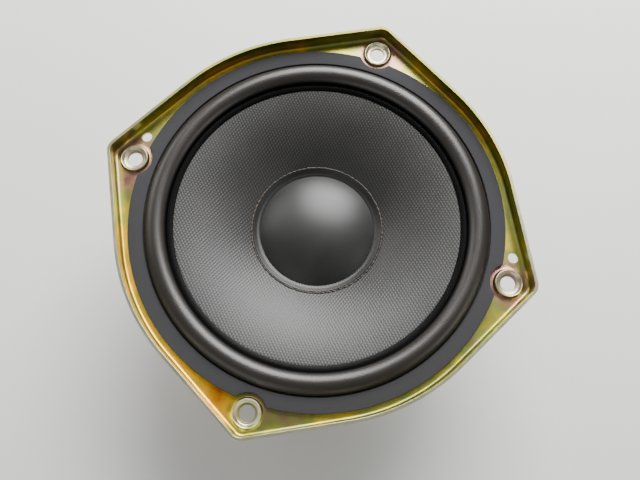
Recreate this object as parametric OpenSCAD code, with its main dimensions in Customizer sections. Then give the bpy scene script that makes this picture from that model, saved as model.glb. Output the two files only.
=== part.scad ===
// Cone loudspeaker driver for a car door, 13 cm class, on a stamped steel basket with four ears.
// Millimetres. +Z points to the listener. The origin is on the axis, in the rear face of the magnet
// assembly, on which the driver also stands.

/* [Flange] */
// Radius of the flange's round edge between the ears
flange_r = 65.6; // [56:0.1:78]
// How far each ear's tip stands out past the round edge
ear_reach = 8; // [7:0.1:12]
// Rounding radius of an ear's tip
ear_round = 4.5; // [3:0.1:5.4]
// Thickness of the basket's steel sheet
sheet_t = 1; // [0.8:0.05:1.3]
// Height of the upturned lip above the flange's front face
lip_h = 5.5; // [2:0.1:8]
// Distance of the screw holes' circle inside the round edge
bolt_inset = 0.1; // [0:0.05:1]
// Diameter of a screw hole
screw_hole_d = 5; // [4:0.1:5.6]
// Diameter of the two locating holes
locating_hole_d = 3.4; // [2.5:0.1:4]
// Angle between a locating hole and its ear, as seen from the axis
locating_angle = 7.8; // [7.5:0.1:9]
// Outside diameter of the raised ring round a screw hole
ring_d = 10; // [9:0.1:11]
// Width of that ring
ring_w = 1.3; // [1:0.05:1.5]
// Height of that ring above the flange
ring_h = 1.2; // [0.9:0.05:1.6]
// Width of the flange from its round edge to the collar's inner wall
flange_w = 8.4; // [8:0.1:10]

/* [Basket] */
// Height of the straight collar under the flange's front face
collar_h = 7; // [5:0.1:9]
// Depth of the cup between the spider's seat and the basket's floor
cup_h = 7; // [6:0.1:10]
// Slope of the cup's wall, as the radius it loses
cup_taper = 3; // [2:0.1:4]
// Inner radius of the basket's floor
floor_inner_r = 17.5; // [16:0.1:20]
// Margin of the seat outside the spider's edge
seat_margin = 1; // [0.6:0.1:2]
// Half the angle of a window, as seen from the axis
window_angle = 30; // [22:1:33]
// Corner radius of a window
window_round = 4; // [2:0.5:5]
// Sheet left between a window and the bends above and below it
window_edge = 1.4; // [1:0.1:2]
// Outside radius of the pressed rib on each leg
rib_r = 2.6; // [2.2:0.1:3.2]

/* [Diaphragm] */
// Depth of the cone from its rim to its neck
cone_depth = 18.3; // [15:0.1:24]
// Radius of the curve of the cone's wall
cone_curve_r = 68; // [50:1:200]
// Thickness of the cone's woven wall
cone_t = 0.5; // [0.4:0.05:0.8]
// Radius of the dust cap's dome
cap_r = 20.5; // [17:0.1:26]
// Height of the dome above its edge
cap_h = 6.5; // [4:0.1:9]
// Width of the flange round the dome, which lies on the cone
cap_flange_w = 1.8; // [1:0.1:2.5]
// Width of the adhesive bead round that flange
bead_w = 0.7; // [0.4:0.05:1.2]
// Thickness of the dust cap
cap_t = 0.5; // [0.4:0.05:0.8]
// Half the width of the surround's roll
roll_r = 3.75; // [3:0.05:4.5]
// Thickness of the surround's rubber
surround_t = 0.5; // [0.4:0.05:0.8]
// Width of the surround's flat inner land
inner_land_w = 1.9; // [1.5:0.1:3]
// Width of the surround's outer land on the flange
outer_land_w = 2; // [1.5:0.1:2]
// Travel of the cone each way from rest
travel = 4; // [2:0.5:4]

/* [Gasket] */
// Thickness of the front gasket above the flange
gasket_t = 1.5; // [1:0.1:3]
// Distance of the gasket's edge inside the round edge
gasket_inset = 3.4; // [3:0.1:4]
// Radius of the gasket's scallop round a screw hole
scallop_r = 6.2; // [5.8:0.1:6.3]

/* [Suspension] */
// Outer radius of the spider
spider_r = 37.5; // [34:0.1:42]
// Width of the spider's flat outer land
spider_land_w = 3.6; // [3:0.1:4]
// Thickness of the spider's cloth
spider_t = 0.4; // [0.3:0.05:0.6]
// Number of corrugations
spider_waves = 5; // [3:1:6]
// Height of a corrugation each way
spider_wave_h = 1.1; // [0.6:0.1:1.3]
// Height between the spider's seat and the cone's neck
neck_gap = 4.7; // [4.5:0.1:7]

/* [Motor] */
// Radius of the pole piece
pole_r = 12.2; // [10:0.1:13]
// Radial gap between the pole and the voice coil's former
inner_gap = 0.4; // [0.3:0.05:0.6]
// Wall thickness of the former
former_t = 0.2; // [0.15:0.05:0.3]
// Radial thickness of the winding
winding_t = 0.7; // [0.5:0.05:0.9]
// Height of the winding
winding_h = 9; // [7:0.5:10]
// Radial gap between the winding and the top plate
outer_gap = 0.45; // [0.35:0.05:0.6]
// Thickness of the kraft collar round the former
collar_paper_t = 0.25; // [0.2:0.05:0.3]
// Thickness of the back plate
back_plate_t = 5; // [4:0.1:7]
// Thickness of the magnet ring
magnet_t = 12; // [11:0.1:15]
// Thickness of the top plate
top_plate_t = 5; // [4:0.1:7]
// Outer radius of the magnet ring
magnet_r = 35; // [32:0.1:42]
// Inner radius of the magnet ring
magnet_bore_r = 16; // [15.5:0.1:19]
// How far the steel plates stay inside the magnet's edge
plate_inset = 2; // [1:0.1:2.5]
// Radius of the spigot that fixes the pole in the back plate
spigot_r = 9; // [7:0.1:9.6]
// Radius of the circle of the basket's rivets
rivet_circle_r = 26; // [24:0.1:27]
// Shank diameter of a basket rivet
rivet_d = 4; // [3:0.1:4.5]

/* [Terminals] */
// Width of the terminal board
board_w = 25; // [24:0.5:28]
// Depth of the terminal board
board_d = 8; // [8:0.1:9]
// Thickness of the terminal board
board_t = 1.6; // [1:0.1:1.6]
// Distance of each terminal from the middle of the board
terminal_x = 6.8; // [6.6:0.1:7.5]
// Width of the positive terminal
positive_w = 6.3; // [5:0.1:6.3]
// Width of the negative terminal
negative_w = 4.8; // [2.8:0.1:4.8]
// Thickness of the terminals' sheet
terminal_t = 0.8; // [0.5:0.1:0.8]
// Length of each terminal past the board
blade_l = 6.3; // [5:0.1:6.3]
// Diameter of a tinsel lead
lead_d = 1.3; // [1:0.1:1.5]

/* [Hidden] */

$fn = 96;
cut = 1;                 // overrun of a cutting solid past the face it cuts
glue = 0.1;              // clearance of a glued joint
seat_lap = 0.4;          // the seat's inner edge stays this far outside the last corrugation
press = 0.02;            // clearance of a pressed joint
EAR_ANGLES = [45, 135, 225, 315];
WINDOW_ANGLES = [0, 90, 180, 270];
LOCATING_ANGLES = [135 - locating_angle, 315 + locating_angle];

// Heights, from the rest face up
magnet_z = back_plate_t;
top_plate_z = magnet_z + magnet_t;
floor_z = top_plate_z + top_plate_t;
seat_z = floor_z + sheet_t + cup_h;
neck_z = seat_z + neck_gap;
flange_z = neck_z + cone_depth;
flange_rear_z = flange_z - sheet_t;

// Radii, from the flange in and from the pole out
bolt_r = flange_r - bolt_inset;
ear_r = flange_r + ear_reach - ear_round;
collar_r = flange_r - flange_w;
roll_gap = 0.15;
roll_centre_r = collar_r - roll_gap - roll_r;
rim_r = roll_centre_r - roll_r - inner_land_w;
former_r = pole_r + inner_gap;
winding_r = former_r + former_t;
paper_r = winding_r + collar_paper_t;
neck_r = paper_r + glue;
gap_r = winding_r + winding_t + outer_gap;
plate_r = magnet_r - plate_inset;
seat_r = spider_r + seat_margin;
cup_r = spider_r - spider_land_w + seat_lap;
rivet_head_r = rivet_d / 2 + 1.3;
rivet_at_r = min(rivet_circle_r, cup_r - cup_taper - rivet_head_r - 0.6);

// The cone's wall is an arc whose centre lies behind it
cone_chord = [rim_r - neck_r, cone_depth];
cone_chord_l = norm(cone_chord);
cone_apothem = sqrt(pow(cone_curve_r, 2) - pow(cone_chord_l / 2, 2));
cone_centre = [neck_r, neck_z] + cone_chord / 2
    + cone_apothem * [cone_chord[1], -cone_chord[0]] / cone_chord_l;
function cone_z(r) = cone_centre[1] + sqrt(pow(cone_curve_r, 2) - pow(r - cone_centre[0], 2));

// The dome is part of a sphere, and its flange rests on the cone
cap_sphere_r = (pow(cap_r, 2) + pow(cap_h, 2)) / (2 * cap_h);
cap_z = cone_z(cap_r) + glue;
cap_outer_r = cap_r + cap_flange_w;

// The sheet's front and inner surface, from the flange down to the floor
basket_path = [
    [collar_r, flange_z],
    [collar_r, flange_z - collar_h],
    [seat_r, seat_z],
    [cup_r, seat_z],
    [cup_r - cup_taper, floor_z + sheet_t],
    [floor_inner_r, floor_z + sheet_t]
];
leg_slope = atan2(flange_z - collar_h - seat_z, collar_r - seat_r);
leg_l = norm([collar_r - seat_r, flange_z - collar_h - seat_z]);

// Strip of the sloping wall left under a window, and how far it reaches past the seat's bend
strip_h = window_edge + 0.8;
strip_w = strip_h / tan(leg_slope) + sheet_t / sin(leg_slope);

// Terminal group, on the basket's -Y side and clear of the strip
board_y = -(seat_r + max(4.7, strip_w + 0.5));
board_z = seat_z;
eyelet_y = board_y - 4.8;
terminal_z = board_z + board_t;
blade_end_y = board_y - board_d - blade_l;
solder_y = board_y - 0.9;
tab_w = 7;
board_rivet_d = 3;
eyelet_d = 3;

// Tinsel lead, from its terminal to the collar of the former. The first number runs in from the
// terminal (0) to the collar (1), the second is the height above the terminal's top, and the third
// is the place between the terminal's x (0) and the collar's x (1).
LEAD_ROUTE = [
    [0.00, 0.5, 0.0], [0.03, 1.3, 0.0], [0.07, 2.4, 0.0], [0.13, 3.3, 0.0], [0.20, 3.7, 0.0],
    [0.28, 3.5, 0.1], [0.36, 2.9, 0.1], [0.44, 2.2, 0.2], [0.53, 1.6, 0.3], [0.62, 1.2, 0.4],
    [0.71, 1.0, 0.6], [0.80, 0.9, 0.7], [0.88, 0.8, 0.9], [0.95, 0.5, 1.0], [1.00, 0.2, 1.0]
];
lead_end_angle = 26;
lead_end_r = paper_r + lead_d / 2 + 0.35;
lead_end_z = seat_z + 2.1;

function unit(v) = v / norm(v);
function left_of(a, b) = let (d = unit(b - a)) [-d[1], d[0]];
function mitre(p, i, n) =
    let (before = left_of(p[max(i - 1, 0)], p[max(i, 1)]),
         after = left_of(p[min(i, n - 2)], p[min(i + 1, n - 1)]))
    (before + after) / (1 + before * after);
// The path moved sideways by t
function offset_path(p, t) = [for (i = [0:len(p) - 1]) p[i] + t * mitre(p, i, len(p))];
function reversed(p) = [for (i = [len(p) - 1:-1:0]) p[i]];

// Corner points of a polygon, each corner replaced by an arc of radius r
function rounded(p, r, steps = 8) = [
    for (i = [0:len(p) - 1])
        let (n = len(p),
             a = unit(p[(i + n - 1) % n] - p[i]),
             b = unit(p[(i + 1) % n] - p[i]),
             half = acos(a * b) / 2,
             centre = p[i] + unit(a + b) * r / sin(half),
             from = p[i] + a * r / tan(half) - centre,
             turn = (a[0] * b[1] - a[1] * b[0] > 0 ? -1 : 1) * (180 - 2 * half))
        for (k = [0:steps])
            let (t = turn * k / steps)
            centre + [from[0] * cos(t) - from[1] * sin(t), from[0] * sin(t) + from[1] * cos(t)]
];

// ---------------------------------------------------------------- basket

// Outline of the flange: a circle and four round ear tips joined by their common tangents
module flange_outline(inset = 0) {
    big = flange_r - inset;
    small = ear_round - inset;
    tangent = acos((big - small) / ear_r);
    circle(big, $fn = 240);
    for (a = EAR_ANGLES) rotate(a) {
        translate([ear_r, 0]) circle(small);
        polygon([
            [0, 0],
            [big * cos(tangent), -big * sin(tangent)],
            [ear_r + small * cos(tangent), -small * sin(tangent)],
            [ear_r + small * cos(tangent), small * sin(tangent)],
            [big * cos(tangent), big * sin(tangent)]
        ]);
    }
}

// Flange plate with its lip turned up towards the front
module flange_tray() {
    translate([0, 0, flange_rear_z]) linear_extrude(sheet_t) flange_outline();
    translate([0, 0, flange_rear_z]) difference() {
        linear_extrude(sheet_t + lip_h) flange_outline();
        translate([0, 0, -cut]) linear_extrude(sheet_t + lip_h + 2 * cut) flange_outline(sheet_t);
    }
}

// Raised ring round one screw hole
module screw_ring() {
    crest = ring_w / 2;
    rotate_extrude() {
        translate([ring_d / 2 - ring_w, -sheet_t / 2]) square([ring_w, sheet_t / 2 + ring_h - crest]);
        translate([ring_d / 2 - crest, ring_h - crest]) circle(crest, $fn = 32);
    }
}

// Collar, legs, spider seat, cup and floor as one turned sheet
module turned_sheet() {
    rotate_extrude($fn = 240)
        polygon(concat(basket_path, reversed(offset_path(basket_path, sheet_t))));
}

// Space in front of the sheet, up to the middle of its thickness
module inside_of_sheet() {
    middle = offset_path(basket_path, sheet_t / 2);
    rotate_extrude() polygon(concat([[0, flange_z]], middle, [[0, floor_z + sheet_t / 2]]));
}

// Round-ended bar along the middle of each leg. Its axis runs inside the sheet, and its seam is
// turned away from the leg's middle plane.
module leg_bars(radius) {
    start = 0.22 * leg_l;
    length = 0.5 * leg_l;
    depth = 0.3 * sheet_t;
    for (a = EAR_ANGLES)
        rotate([0, 0, a])
            translate([seat_r, 0, seat_z])
                rotate([0, 90 - leg_slope, 0])
                    translate([depth, 0, 0]) rotate(25) rotate_extrude($fn = 48) intersection() {
                        union() {
                            translate([0, start]) circle(radius);
                            translate([0, start + length]) circle(radius);
                            translate([-radius, start]) square([2 * radius, length]);
                        }
                        translate([0, start - radius]) square([radius, length + 2 * radius]);
                    }
}

// One window, cut outwards along +X through the sloping wall
module window_cut() {
    low_z = seat_z + strip_h;
    high_z = flange_z - collar_h - window_edge + 0.4;
    low_w = (seat_r + 2) * sin(window_angle);
    high_w = collar_r * sin(window_angle + 1);
    translate([seat_r * cos(window_angle) - 2, 0, 0])
        rotate([90, 0, 90])
            linear_extrude(flange_r)
                polygon(rounded([[-low_w, low_z], [low_w, low_z], [high_w, high_z], [-high_w, high_z]],
                                window_round));
}

// Flat tab that carries the terminal board
module terminal_tab() {
    difference() {
        translate([-tab_w / 2, board_y - board_d, seat_z - sheet_t])
            cube([tab_w, board_d + (-board_y - seat_r) + 0.8, sheet_t]);
        translate([0, eyelet_y, seat_z - sheet_t - cut])
            cylinder(h = sheet_t + 2 * cut, d = board_rivet_d + 2 * press, $fn = 48);
    }
}

module basket() color("darkkhaki") {
    difference() {
        union() {
            flange_tray();
            for (a = EAR_ANGLES) rotate([0, 0, a]) translate([bolt_r, 0, flange_z]) screw_ring();
        }
        translate([0, 0, flange_rear_z - cut])
            cylinder(h = sheet_t + 2 * cut, r = collar_r + sheet_t / 2, $fn = 240);
        for (a = EAR_ANGLES)
            rotate([0, 0, a])
                translate([bolt_r, 0, flange_rear_z - cut])
                    cylinder(h = sheet_t + 2 * cut, d = screw_hole_d, $fn = 64);
        for (a = LOCATING_ANGLES)
            rotate([0, 0, a])
                translate([bolt_r, 0, flange_rear_z - cut])
                    cylinder(h = sheet_t + 2 * cut, d = locating_hole_d, $fn = 64);
    }
    difference() {
        union() {
            turned_sheet();
            difference() {
                leg_bars(rib_r);
                inside_of_sheet();
            }
        }
        leg_bars(rib_r - sheet_t);
        for (a = WINDOW_ANGLES) rotate([0, 0, a]) window_cut();
        for (a = WINDOW_ANGLES)
            rotate([0, 0, a])
                translate([rivet_at_r, 0, floor_z - cut])
                    cylinder(h = sheet_t + 2 * cut, d = rivet_d + 2 * press, $fn = 48);
    }
    terminal_tab();
}

// Four rivets that hold the basket's floor on the top plate
module basket_rivets() color("silver") {
    head_h = 1.3;
    dome_r = (pow(rivet_head_r, 2) + pow(head_h, 2)) / (2 * head_h);
    for (a = WINDOW_ANGLES)
        rotate([0, 0, a]) translate([rivet_at_r, 0, 0]) {
            translate([0, 0, top_plate_z]) cylinder(h = top_plate_t + sheet_t + 0.2, d = rivet_d);
            intersection() {
                translate([0, 0, floor_z + sheet_t]) cylinder(h = head_h + cut, r = rivet_head_r + cut);
                translate([0, 0, floor_z + sheet_t + head_h - dome_r]) sphere(dome_r);
            }
        }
}

// ---------------------------------------------------------------- gasket and suspension

module front_gasket() color("dimgray") {
    inner = collar_r + glue;
    rebate = collar_r + outer_land_w + glue;
    difference() {
        translate([0, 0, flange_z]) rotate_extrude($fn = 240) polygon([
            [inner, surround_t],
            [rebate, surround_t],
            [rebate, 0],
            [flange_r - gasket_inset, 0],
            [flange_r - gasket_inset, gasket_t],
            [inner, gasket_t]
        ]);
        for (a = EAR_ANGLES)
            rotate([0, 0, a])
                translate([bolt_r, 0, flange_z - cut])
                    cylinder(h = gasket_t + 2 * cut, r = scallop_r);
    }
}

module surround() color([0.22, 0.21, 0.2]) {
    inner_r = roll_r - surround_t;
    translate([0, 0, flange_z]) rotate_extrude($fn = 240) {
        intersection() {
            translate([roll_centre_r, 0]) difference() {
                circle(roll_r, $fn = 64);
                circle(inner_r, $fn = 64);
            }
            translate([roll_centre_r - roll_r - cut, 0]) square([2 * (roll_r + cut), roll_r + cut]);
        }
        translate([rim_r, 0])
            square([inner_land_w + surround_t / 2, surround_t]);
        translate([roll_centre_r + roll_r - surround_t / 2, 0])
            square([roll_gap + surround_t / 2 + outer_land_w, surround_t]);
    }
}

// Corrugated cloth disc that centres the voice coil
module spider() color([0.72, 0.6, 0.36]) {
    start = neck_r + 1.4;
    end = spider_r - spider_land_w;
    steps = 8 * spider_waves;
    base = seat_z + spider_t / 2;
    wave = [for (i = [0:steps])
        [start + (end - start) * i / steps, base + spider_wave_h * sin(360 * spider_waves * i / steps)]];
    middle = concat([[neck_r + spider_t / 2, base + 1], [neck_r + spider_t / 2, base]],
                    wave, [[spider_r, base]]);
    rotate_extrude() polygon(concat(offset_path(middle, spider_t / 2),
                                    reversed(offset_path(middle, -spider_t / 2))));
}

// ---------------------------------------------------------------- moving diaphragm

module cone() color([0.3, 0.3, 0.31]) {
    rim_w = inner_land_w - 0.25;
    rotate_extrude($fn = 240) {
        intersection() {
            translate(cone_centre) difference() {
                circle(cone_curve_r, $fn = 720);
                circle(cone_curve_r - cone_t, $fn = 720);
            }
            translate([neck_r, neck_z - 3]) square([rim_r - neck_r, cone_depth + 4]);
        }
        translate([rim_r, flange_z - cone_t]) square([rim_w, cone_t]);
    }
}

module dust_cap() color([0.25, 0.25, 0.26]) {
    centre_z = cap_z + cap_h - cap_sphere_r;
    rotate_extrude($fn = 240) {
        intersection() {
            translate([0, centre_z]) difference() {
                circle(cap_sphere_r, $fn = 360);
                circle(cap_sphere_r - cap_t, $fn = 360);
            }
            translate([0, cap_z]) square([cap_r + cut, cap_h + cut]);
        }
        intersection() {
            translate(cone_centre) difference() {
                circle(cone_curve_r + glue + cap_t, $fn = 720);
                circle(cone_curve_r + glue, $fn = 720);
            }
            translate([cap_r - cap_t, cap_z - 2]) square([cap_flange_w + cap_t, 4]);
        }
    }
}

// Bead of adhesive round the dust cap's flange
module cap_adhesive() color([0.22, 0.19, 0.15]) {
    inner = cap_outer_r + press;
    outer = cap_outer_r + bead_w;
    rotate_extrude($fn = 240) polygon([
        [inner, cone_z(inner) + press],
        [outer, cone_z(outer) + press],
        [inner + bead_w * 0.6, cone_z(inner + bead_w * 0.6) + cap_t * 0.7],
        [inner, cone_z(inner) + cap_t]
    ]);
}

// Adhesive fillet between the cone's neck and the former's collar
module neck_adhesive() color([0.16, 0.13, 0.1]) {
    fillet = 0.85;
    top = cone_z(neck_r) - cone_t * 1.6;
    rotate_extrude() polygon([
        [paper_r + press, top],
        [paper_r + press, top - fillet],
        [paper_r + fillet * 0.7, top - fillet * 0.25],
        [paper_r + fillet * 0.8, top]
    ]);
}

module voice_coil_former() color([0.75, 0.6, 0.3]) {
    translate([0, 0, top_plate_z + (top_plate_t - winding_h) / 2 - 0.5])
        difference() {
            length = neck_z + 0.9 - (top_plate_z + (top_plate_t - winding_h) / 2 - 0.5);
            cylinder(h = length, r = winding_r);
            translate([0, 0, -cut]) cylinder(h = length + 2 * cut, r = former_r);
        }
}

module former_collar() color([0.5, 0.36, 0.2]) {
    bottom = seat_z - 2;
    translate([0, 0, bottom]) difference() {
        cylinder(h = neck_z + 0.5 - bottom, r = paper_r);
        translate([0, 0, -cut]) cylinder(h = neck_z - bottom + 2 * cut, r = winding_r + press);
    }
}

module voice_coil_winding() color([0.7, 0.35, 0.15]) {
    translate([0, 0, top_plate_z + (top_plate_t - winding_h) / 2]) difference() {
        cylinder(h = winding_h, r = winding_r + winding_t);
        translate([0, 0, -cut]) cylinder(h = winding_h + 2 * cut, r = winding_r + press);
    }
}

// The two ends of the winding, flat on the former up to its collar
module coil_lead_outs() color([0.75, 0.38, 0.16]) {
    bottom = top_plate_z + (top_plate_t + winding_h) / 2;
    wire = 0.24;
    for (side = [-1, 1])
        rotate([0, 0, -90 + side * lead_end_angle])
            translate([winding_r + press, -wire, bottom]) cube([wire, 2 * wire, seat_z - 2 - bottom]);
}

// ---------------------------------------------------------------- motor

module top_plate() color("lightgray") {
    translate([0, 0, top_plate_z]) difference() {
        cylinder(h = top_plate_t, r = plate_r, $fn = 180);
        translate([0, 0, -cut]) cylinder(h = top_plate_t + 2 * cut, r = gap_r);
        for (a = WINDOW_ANGLES)
            rotate([0, 0, a])
                translate([rivet_at_r, 0, -cut])
                    cylinder(h = top_plate_t + 2 * cut, d = rivet_d + 2 * press, $fn = 48);
    }
}

module magnet() color([0.18, 0.18, 0.19]) {
    chamfer = 0.8;
    translate([0, 0, magnet_z]) rotate_extrude($fn = 180) polygon([
        [magnet_bore_r, 0],
        [magnet_r - chamfer, 0],
        [magnet_r, chamfer],
        [magnet_r, magnet_t - chamfer],
        [magnet_r - chamfer, magnet_t],
        [magnet_bore_r, magnet_t]
    ]);
}

module back_plate() color("lightgray") {
    chamfer = 0.6;
    rotate_extrude($fn = 180) polygon([
        [spigot_r + press, 0],
        [plate_r - chamfer, 0],
        [plate_r, chamfer],
        [plate_r, back_plate_t],
        [spigot_r + press, back_plate_t]
    ]);
}

module pole_piece() color("gainsboro") {
    recess = 0.3;
    translate([0, 0, recess]) cylinder(h = back_plate_t, r = spigot_r);
    translate([0, 0, back_plate_t]) cylinder(h = magnet_t + top_plate_t, r = pole_r);
}

// ---------------------------------------------------------------- terminals and leads

module terminal_board() color([0.45, 0.3, 0.16]) {
    difference() {
        translate([0, 0, board_z]) linear_extrude(board_t)
            polygon(rounded([[-board_w / 2, board_y - board_d], [board_w / 2, board_y - board_d],
                             [board_w / 2, board_y], [-board_w / 2, board_y]], 1));
        translate([0, eyelet_y, board_z - cut])
            cylinder(h = board_t + 2 * cut, d = board_rivet_d + 2 * press, $fn = 48);
        for (side = [-1, 1])
            translate([side * terminal_x, eyelet_y, board_z - cut])
                cylinder(h = board_t + 2 * cut, d = eyelet_d + 2 * press, $fn = 48);
    }
}

// Rivet that holds the board on the basket's tab
module board_rivet() color("silver") {
    head_r = 2.3;
    head_h = 0.9;
    dome_r = (pow(head_r, 2) + pow(head_h, 2)) / (2 * head_h);
    translate([0, eyelet_y, 0]) {
        translate([0, 0, seat_z - sheet_t]) cylinder(h = sheet_t + board_t + 0.2, d = board_rivet_d);
        translate([0, 0, seat_z - sheet_t - 0.7]) cylinder(h = 0.7, r = 2.1);
        intersection() {
            translate([0, 0, board_z + board_t]) cylinder(h = head_h + cut, r = head_r + cut);
            translate([0, 0, board_z + board_t + head_h - dome_r]) sphere(dome_r);
        }
    }
}

// Blade terminal of the given width, with its eyelet hole and the hole in its blade
module blade_terminal(width) {
    inner_y = board_y - 0.1;
    chamfer = 1;
    translate([0, 0, terminal_z]) difference() {
        linear_extrude(terminal_t) polygon([
            [-width / 2, inner_y],
            [-width / 2, blade_end_y + chamfer],
            [-width / 2 + chamfer, blade_end_y],
            [width / 2 - chamfer, blade_end_y],
            [width / 2, blade_end_y + chamfer],
            [width / 2, inner_y]
        ]);
        translate([0, eyelet_y, -cut])
            cylinder(h = terminal_t + 2 * cut, d = eyelet_d + 2 * press, $fn = 48);
        translate([0, blade_end_y + 3, -cut]) cylinder(h = terminal_t + 2 * cut, d = 1.6, $fn = 48);
    }
}

module terminal_positive() color("silver") translate([terminal_x, 0, 0]) blade_terminal(positive_w);

module terminal_negative() color("silver") translate([-terminal_x, 0, 0]) blade_terminal(negative_w);

// Hollow eyelets that hold the terminals on the board
module terminal_eyelets() color("gold") {
    shank = eyelet_d / 2;
    bore = shank - 0.5;
    flange = shank + 0.7;
    flange_t = 0.4;
    for (side = [-1, 1])
        translate([side * terminal_x, eyelet_y, board_z]) rotate_extrude() polygon([
            [bore, -flange_t],
            [flange, -flange_t],
            [flange, 0],
            [shank, 0],
            [shank, board_t + terminal_t],
            [flange, board_t + terminal_t],
            [flange, board_t + terminal_t + flange_t],
            [bore, board_t + terminal_t + flange_t]
        ]);
}

// Point of the lead's route on one side (-1 or 1)
function lead_point(p, side) =
    let (start = [side * terminal_x, solder_y, terminal_z + terminal_t],
         end = [side * lead_end_r * sin(lead_end_angle), -lead_end_r * cos(lead_end_angle), lead_end_z])
    [start[0] + (end[0] - start[0]) * p[2],
     start[1] + (end[1] - start[1]) * p[0],
     start[2] + (end[2] - start[2]) * p[0] + p[1]];

// Smooth curve through the route, a few steps between each two points
function curve_at(p, i, t) =
    let (n = len(p) - 1, a = p[max(i - 1, 0)], b = p[i], c = p[i + 1], d = p[min(i + 2, n)])
    0.5 * (2 * b + (c - a) * t + (2 * a - 5 * b + 4 * c - d) * t * t
           + (3 * b - 3 * c + d - a) * t * t * t);
function smooth(p, steps) = concat(
    [for (i = [0:len(p) - 2]) for (k = [0:steps - 1]) curve_at(p, i, k / steps)], [p[len(p) - 1]]);

// Tube swept along a route that never runs parallel to X
module swept_tube(route, radius, sides = 8) {
    n = len(route);
    rings = [for (i = [0:n - 1])
        let (along = unit(route[min(i + 1, n - 1)] - route[max(i - 1, 0)]),
             across = unit([1, 0, 0] - along[0] * along),
             third = cross(along, across))
        for (k = [0:sides - 1])
            route[i] + radius * (cos(360 * k / sides) * across + sin(360 * k / sides) * third)];
    walls = [for (i = [0:n - 2]) for (k = [0:sides - 1])
        let (a = i * sides + k, b = i * sides + (k + 1) % sides)
        [a, a + sides, b + sides, b]];
    caps = [[for (k = [0:sides - 1]) k], [for (k = [sides - 1:-1:0]) (n - 1) * sides + k]];
    polyhedron(rings, concat(walls, caps));
}

module tinsel_lead(side) {
    route = smooth([for (p = LEAD_ROUTE) lead_point(p, side)], 2);
    swept_tube(route, lead_d / 2);
}

module tinsel_lead_positive() color([0.72, 0.5, 0.3]) tinsel_lead(1);

module tinsel_lead_negative() color([0.72, 0.5, 0.3]) tinsel_lead(-1);

// Dabs of solder that join the leads to the terminals
module terminal_solder() color("gainsboro") {
    dab_r = 1;
    for (side = [-1, 1]) difference() {
        translate([side * terminal_x, solder_y - 0.4, terminal_z + terminal_t]) sphere(dab_r, $fn = 48);
        translate([side * terminal_x - 2, solder_y - 2.4, terminal_z + terminal_t - 2]) cube([4, 4, 2]);
        tinsel_lead(side);
    }
}

// Dabs of solder that join the leads to the winding's ends on the collar
module lead_solder() color("gainsboro") {
    dab_r = 0.8;
    for (side = [-1, 1]) difference() {
        rotate([0, 0, -90 + side * lead_end_angle])
            translate([paper_r + 0.5, 0, lead_end_z]) sphere(dab_r, $fn = 48);
        cylinder(h = flange_z, r = paper_r + press);
        tinsel_lead(side);
    }
}

basket();
front_gasket();
surround();
cone();
dust_cap();
cap_adhesive();
neck_adhesive();
voice_coil_former();
former_collar();
voice_coil_winding();
coil_lead_outs();
lead_solder();
spider();
top_plate();
magnet();
back_plate();
pole_piece();
basket_rivets();
terminal_board();
board_rivet();
terminal_positive();
terminal_negative();
terminal_eyelets();
terminal_solder();
tinsel_lead_positive();
tinsel_lead_negative();
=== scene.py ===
"""Cone loudspeaker driver for a car door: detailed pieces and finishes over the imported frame.

Lengths inside the classes are millimetres; a mesh is scaled to metres when it is made.
"""
import logging
import math
import random
from dataclasses import dataclass, field
from enum import Enum
from typing import Any, Callable, Iterable, Optional

import bmesh
import bpy
from mathutils import Matrix, Vector, noise
from mathutils.geometry import delaunay_2d_cdt, intersect_point_line
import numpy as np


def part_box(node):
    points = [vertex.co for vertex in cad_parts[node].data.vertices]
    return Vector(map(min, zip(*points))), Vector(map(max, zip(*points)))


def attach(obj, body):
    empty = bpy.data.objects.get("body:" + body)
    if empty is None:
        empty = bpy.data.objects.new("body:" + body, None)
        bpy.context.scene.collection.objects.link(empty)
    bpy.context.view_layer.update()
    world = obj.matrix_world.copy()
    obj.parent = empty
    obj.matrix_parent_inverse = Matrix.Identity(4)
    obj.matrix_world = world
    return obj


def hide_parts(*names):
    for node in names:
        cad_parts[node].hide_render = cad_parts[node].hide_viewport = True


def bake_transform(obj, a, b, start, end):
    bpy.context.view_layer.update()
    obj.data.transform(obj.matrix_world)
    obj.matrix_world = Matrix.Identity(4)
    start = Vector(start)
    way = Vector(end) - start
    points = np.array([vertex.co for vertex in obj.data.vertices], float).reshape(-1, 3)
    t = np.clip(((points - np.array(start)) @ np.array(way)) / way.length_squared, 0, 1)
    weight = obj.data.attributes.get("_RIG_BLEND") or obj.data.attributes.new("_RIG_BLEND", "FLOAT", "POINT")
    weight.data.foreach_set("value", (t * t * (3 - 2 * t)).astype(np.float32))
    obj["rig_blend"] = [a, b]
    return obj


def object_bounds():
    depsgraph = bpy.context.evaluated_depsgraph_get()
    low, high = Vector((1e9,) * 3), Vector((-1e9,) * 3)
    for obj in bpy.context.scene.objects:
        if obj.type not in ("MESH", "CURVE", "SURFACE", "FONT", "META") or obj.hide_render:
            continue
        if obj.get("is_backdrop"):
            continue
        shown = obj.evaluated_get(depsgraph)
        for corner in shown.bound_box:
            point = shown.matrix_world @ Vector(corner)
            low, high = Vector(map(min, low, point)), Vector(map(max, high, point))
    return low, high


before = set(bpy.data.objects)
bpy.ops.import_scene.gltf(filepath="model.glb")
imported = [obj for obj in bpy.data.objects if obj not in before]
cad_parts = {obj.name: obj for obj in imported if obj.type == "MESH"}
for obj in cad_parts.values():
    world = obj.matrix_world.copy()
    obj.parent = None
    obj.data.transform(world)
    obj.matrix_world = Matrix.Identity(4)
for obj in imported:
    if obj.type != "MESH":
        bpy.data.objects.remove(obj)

LOG = logging.getLogger("driver")
MM = 0.001
Pair = tuple[float, float]
EARS = (45, 135, 225, 315)


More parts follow.
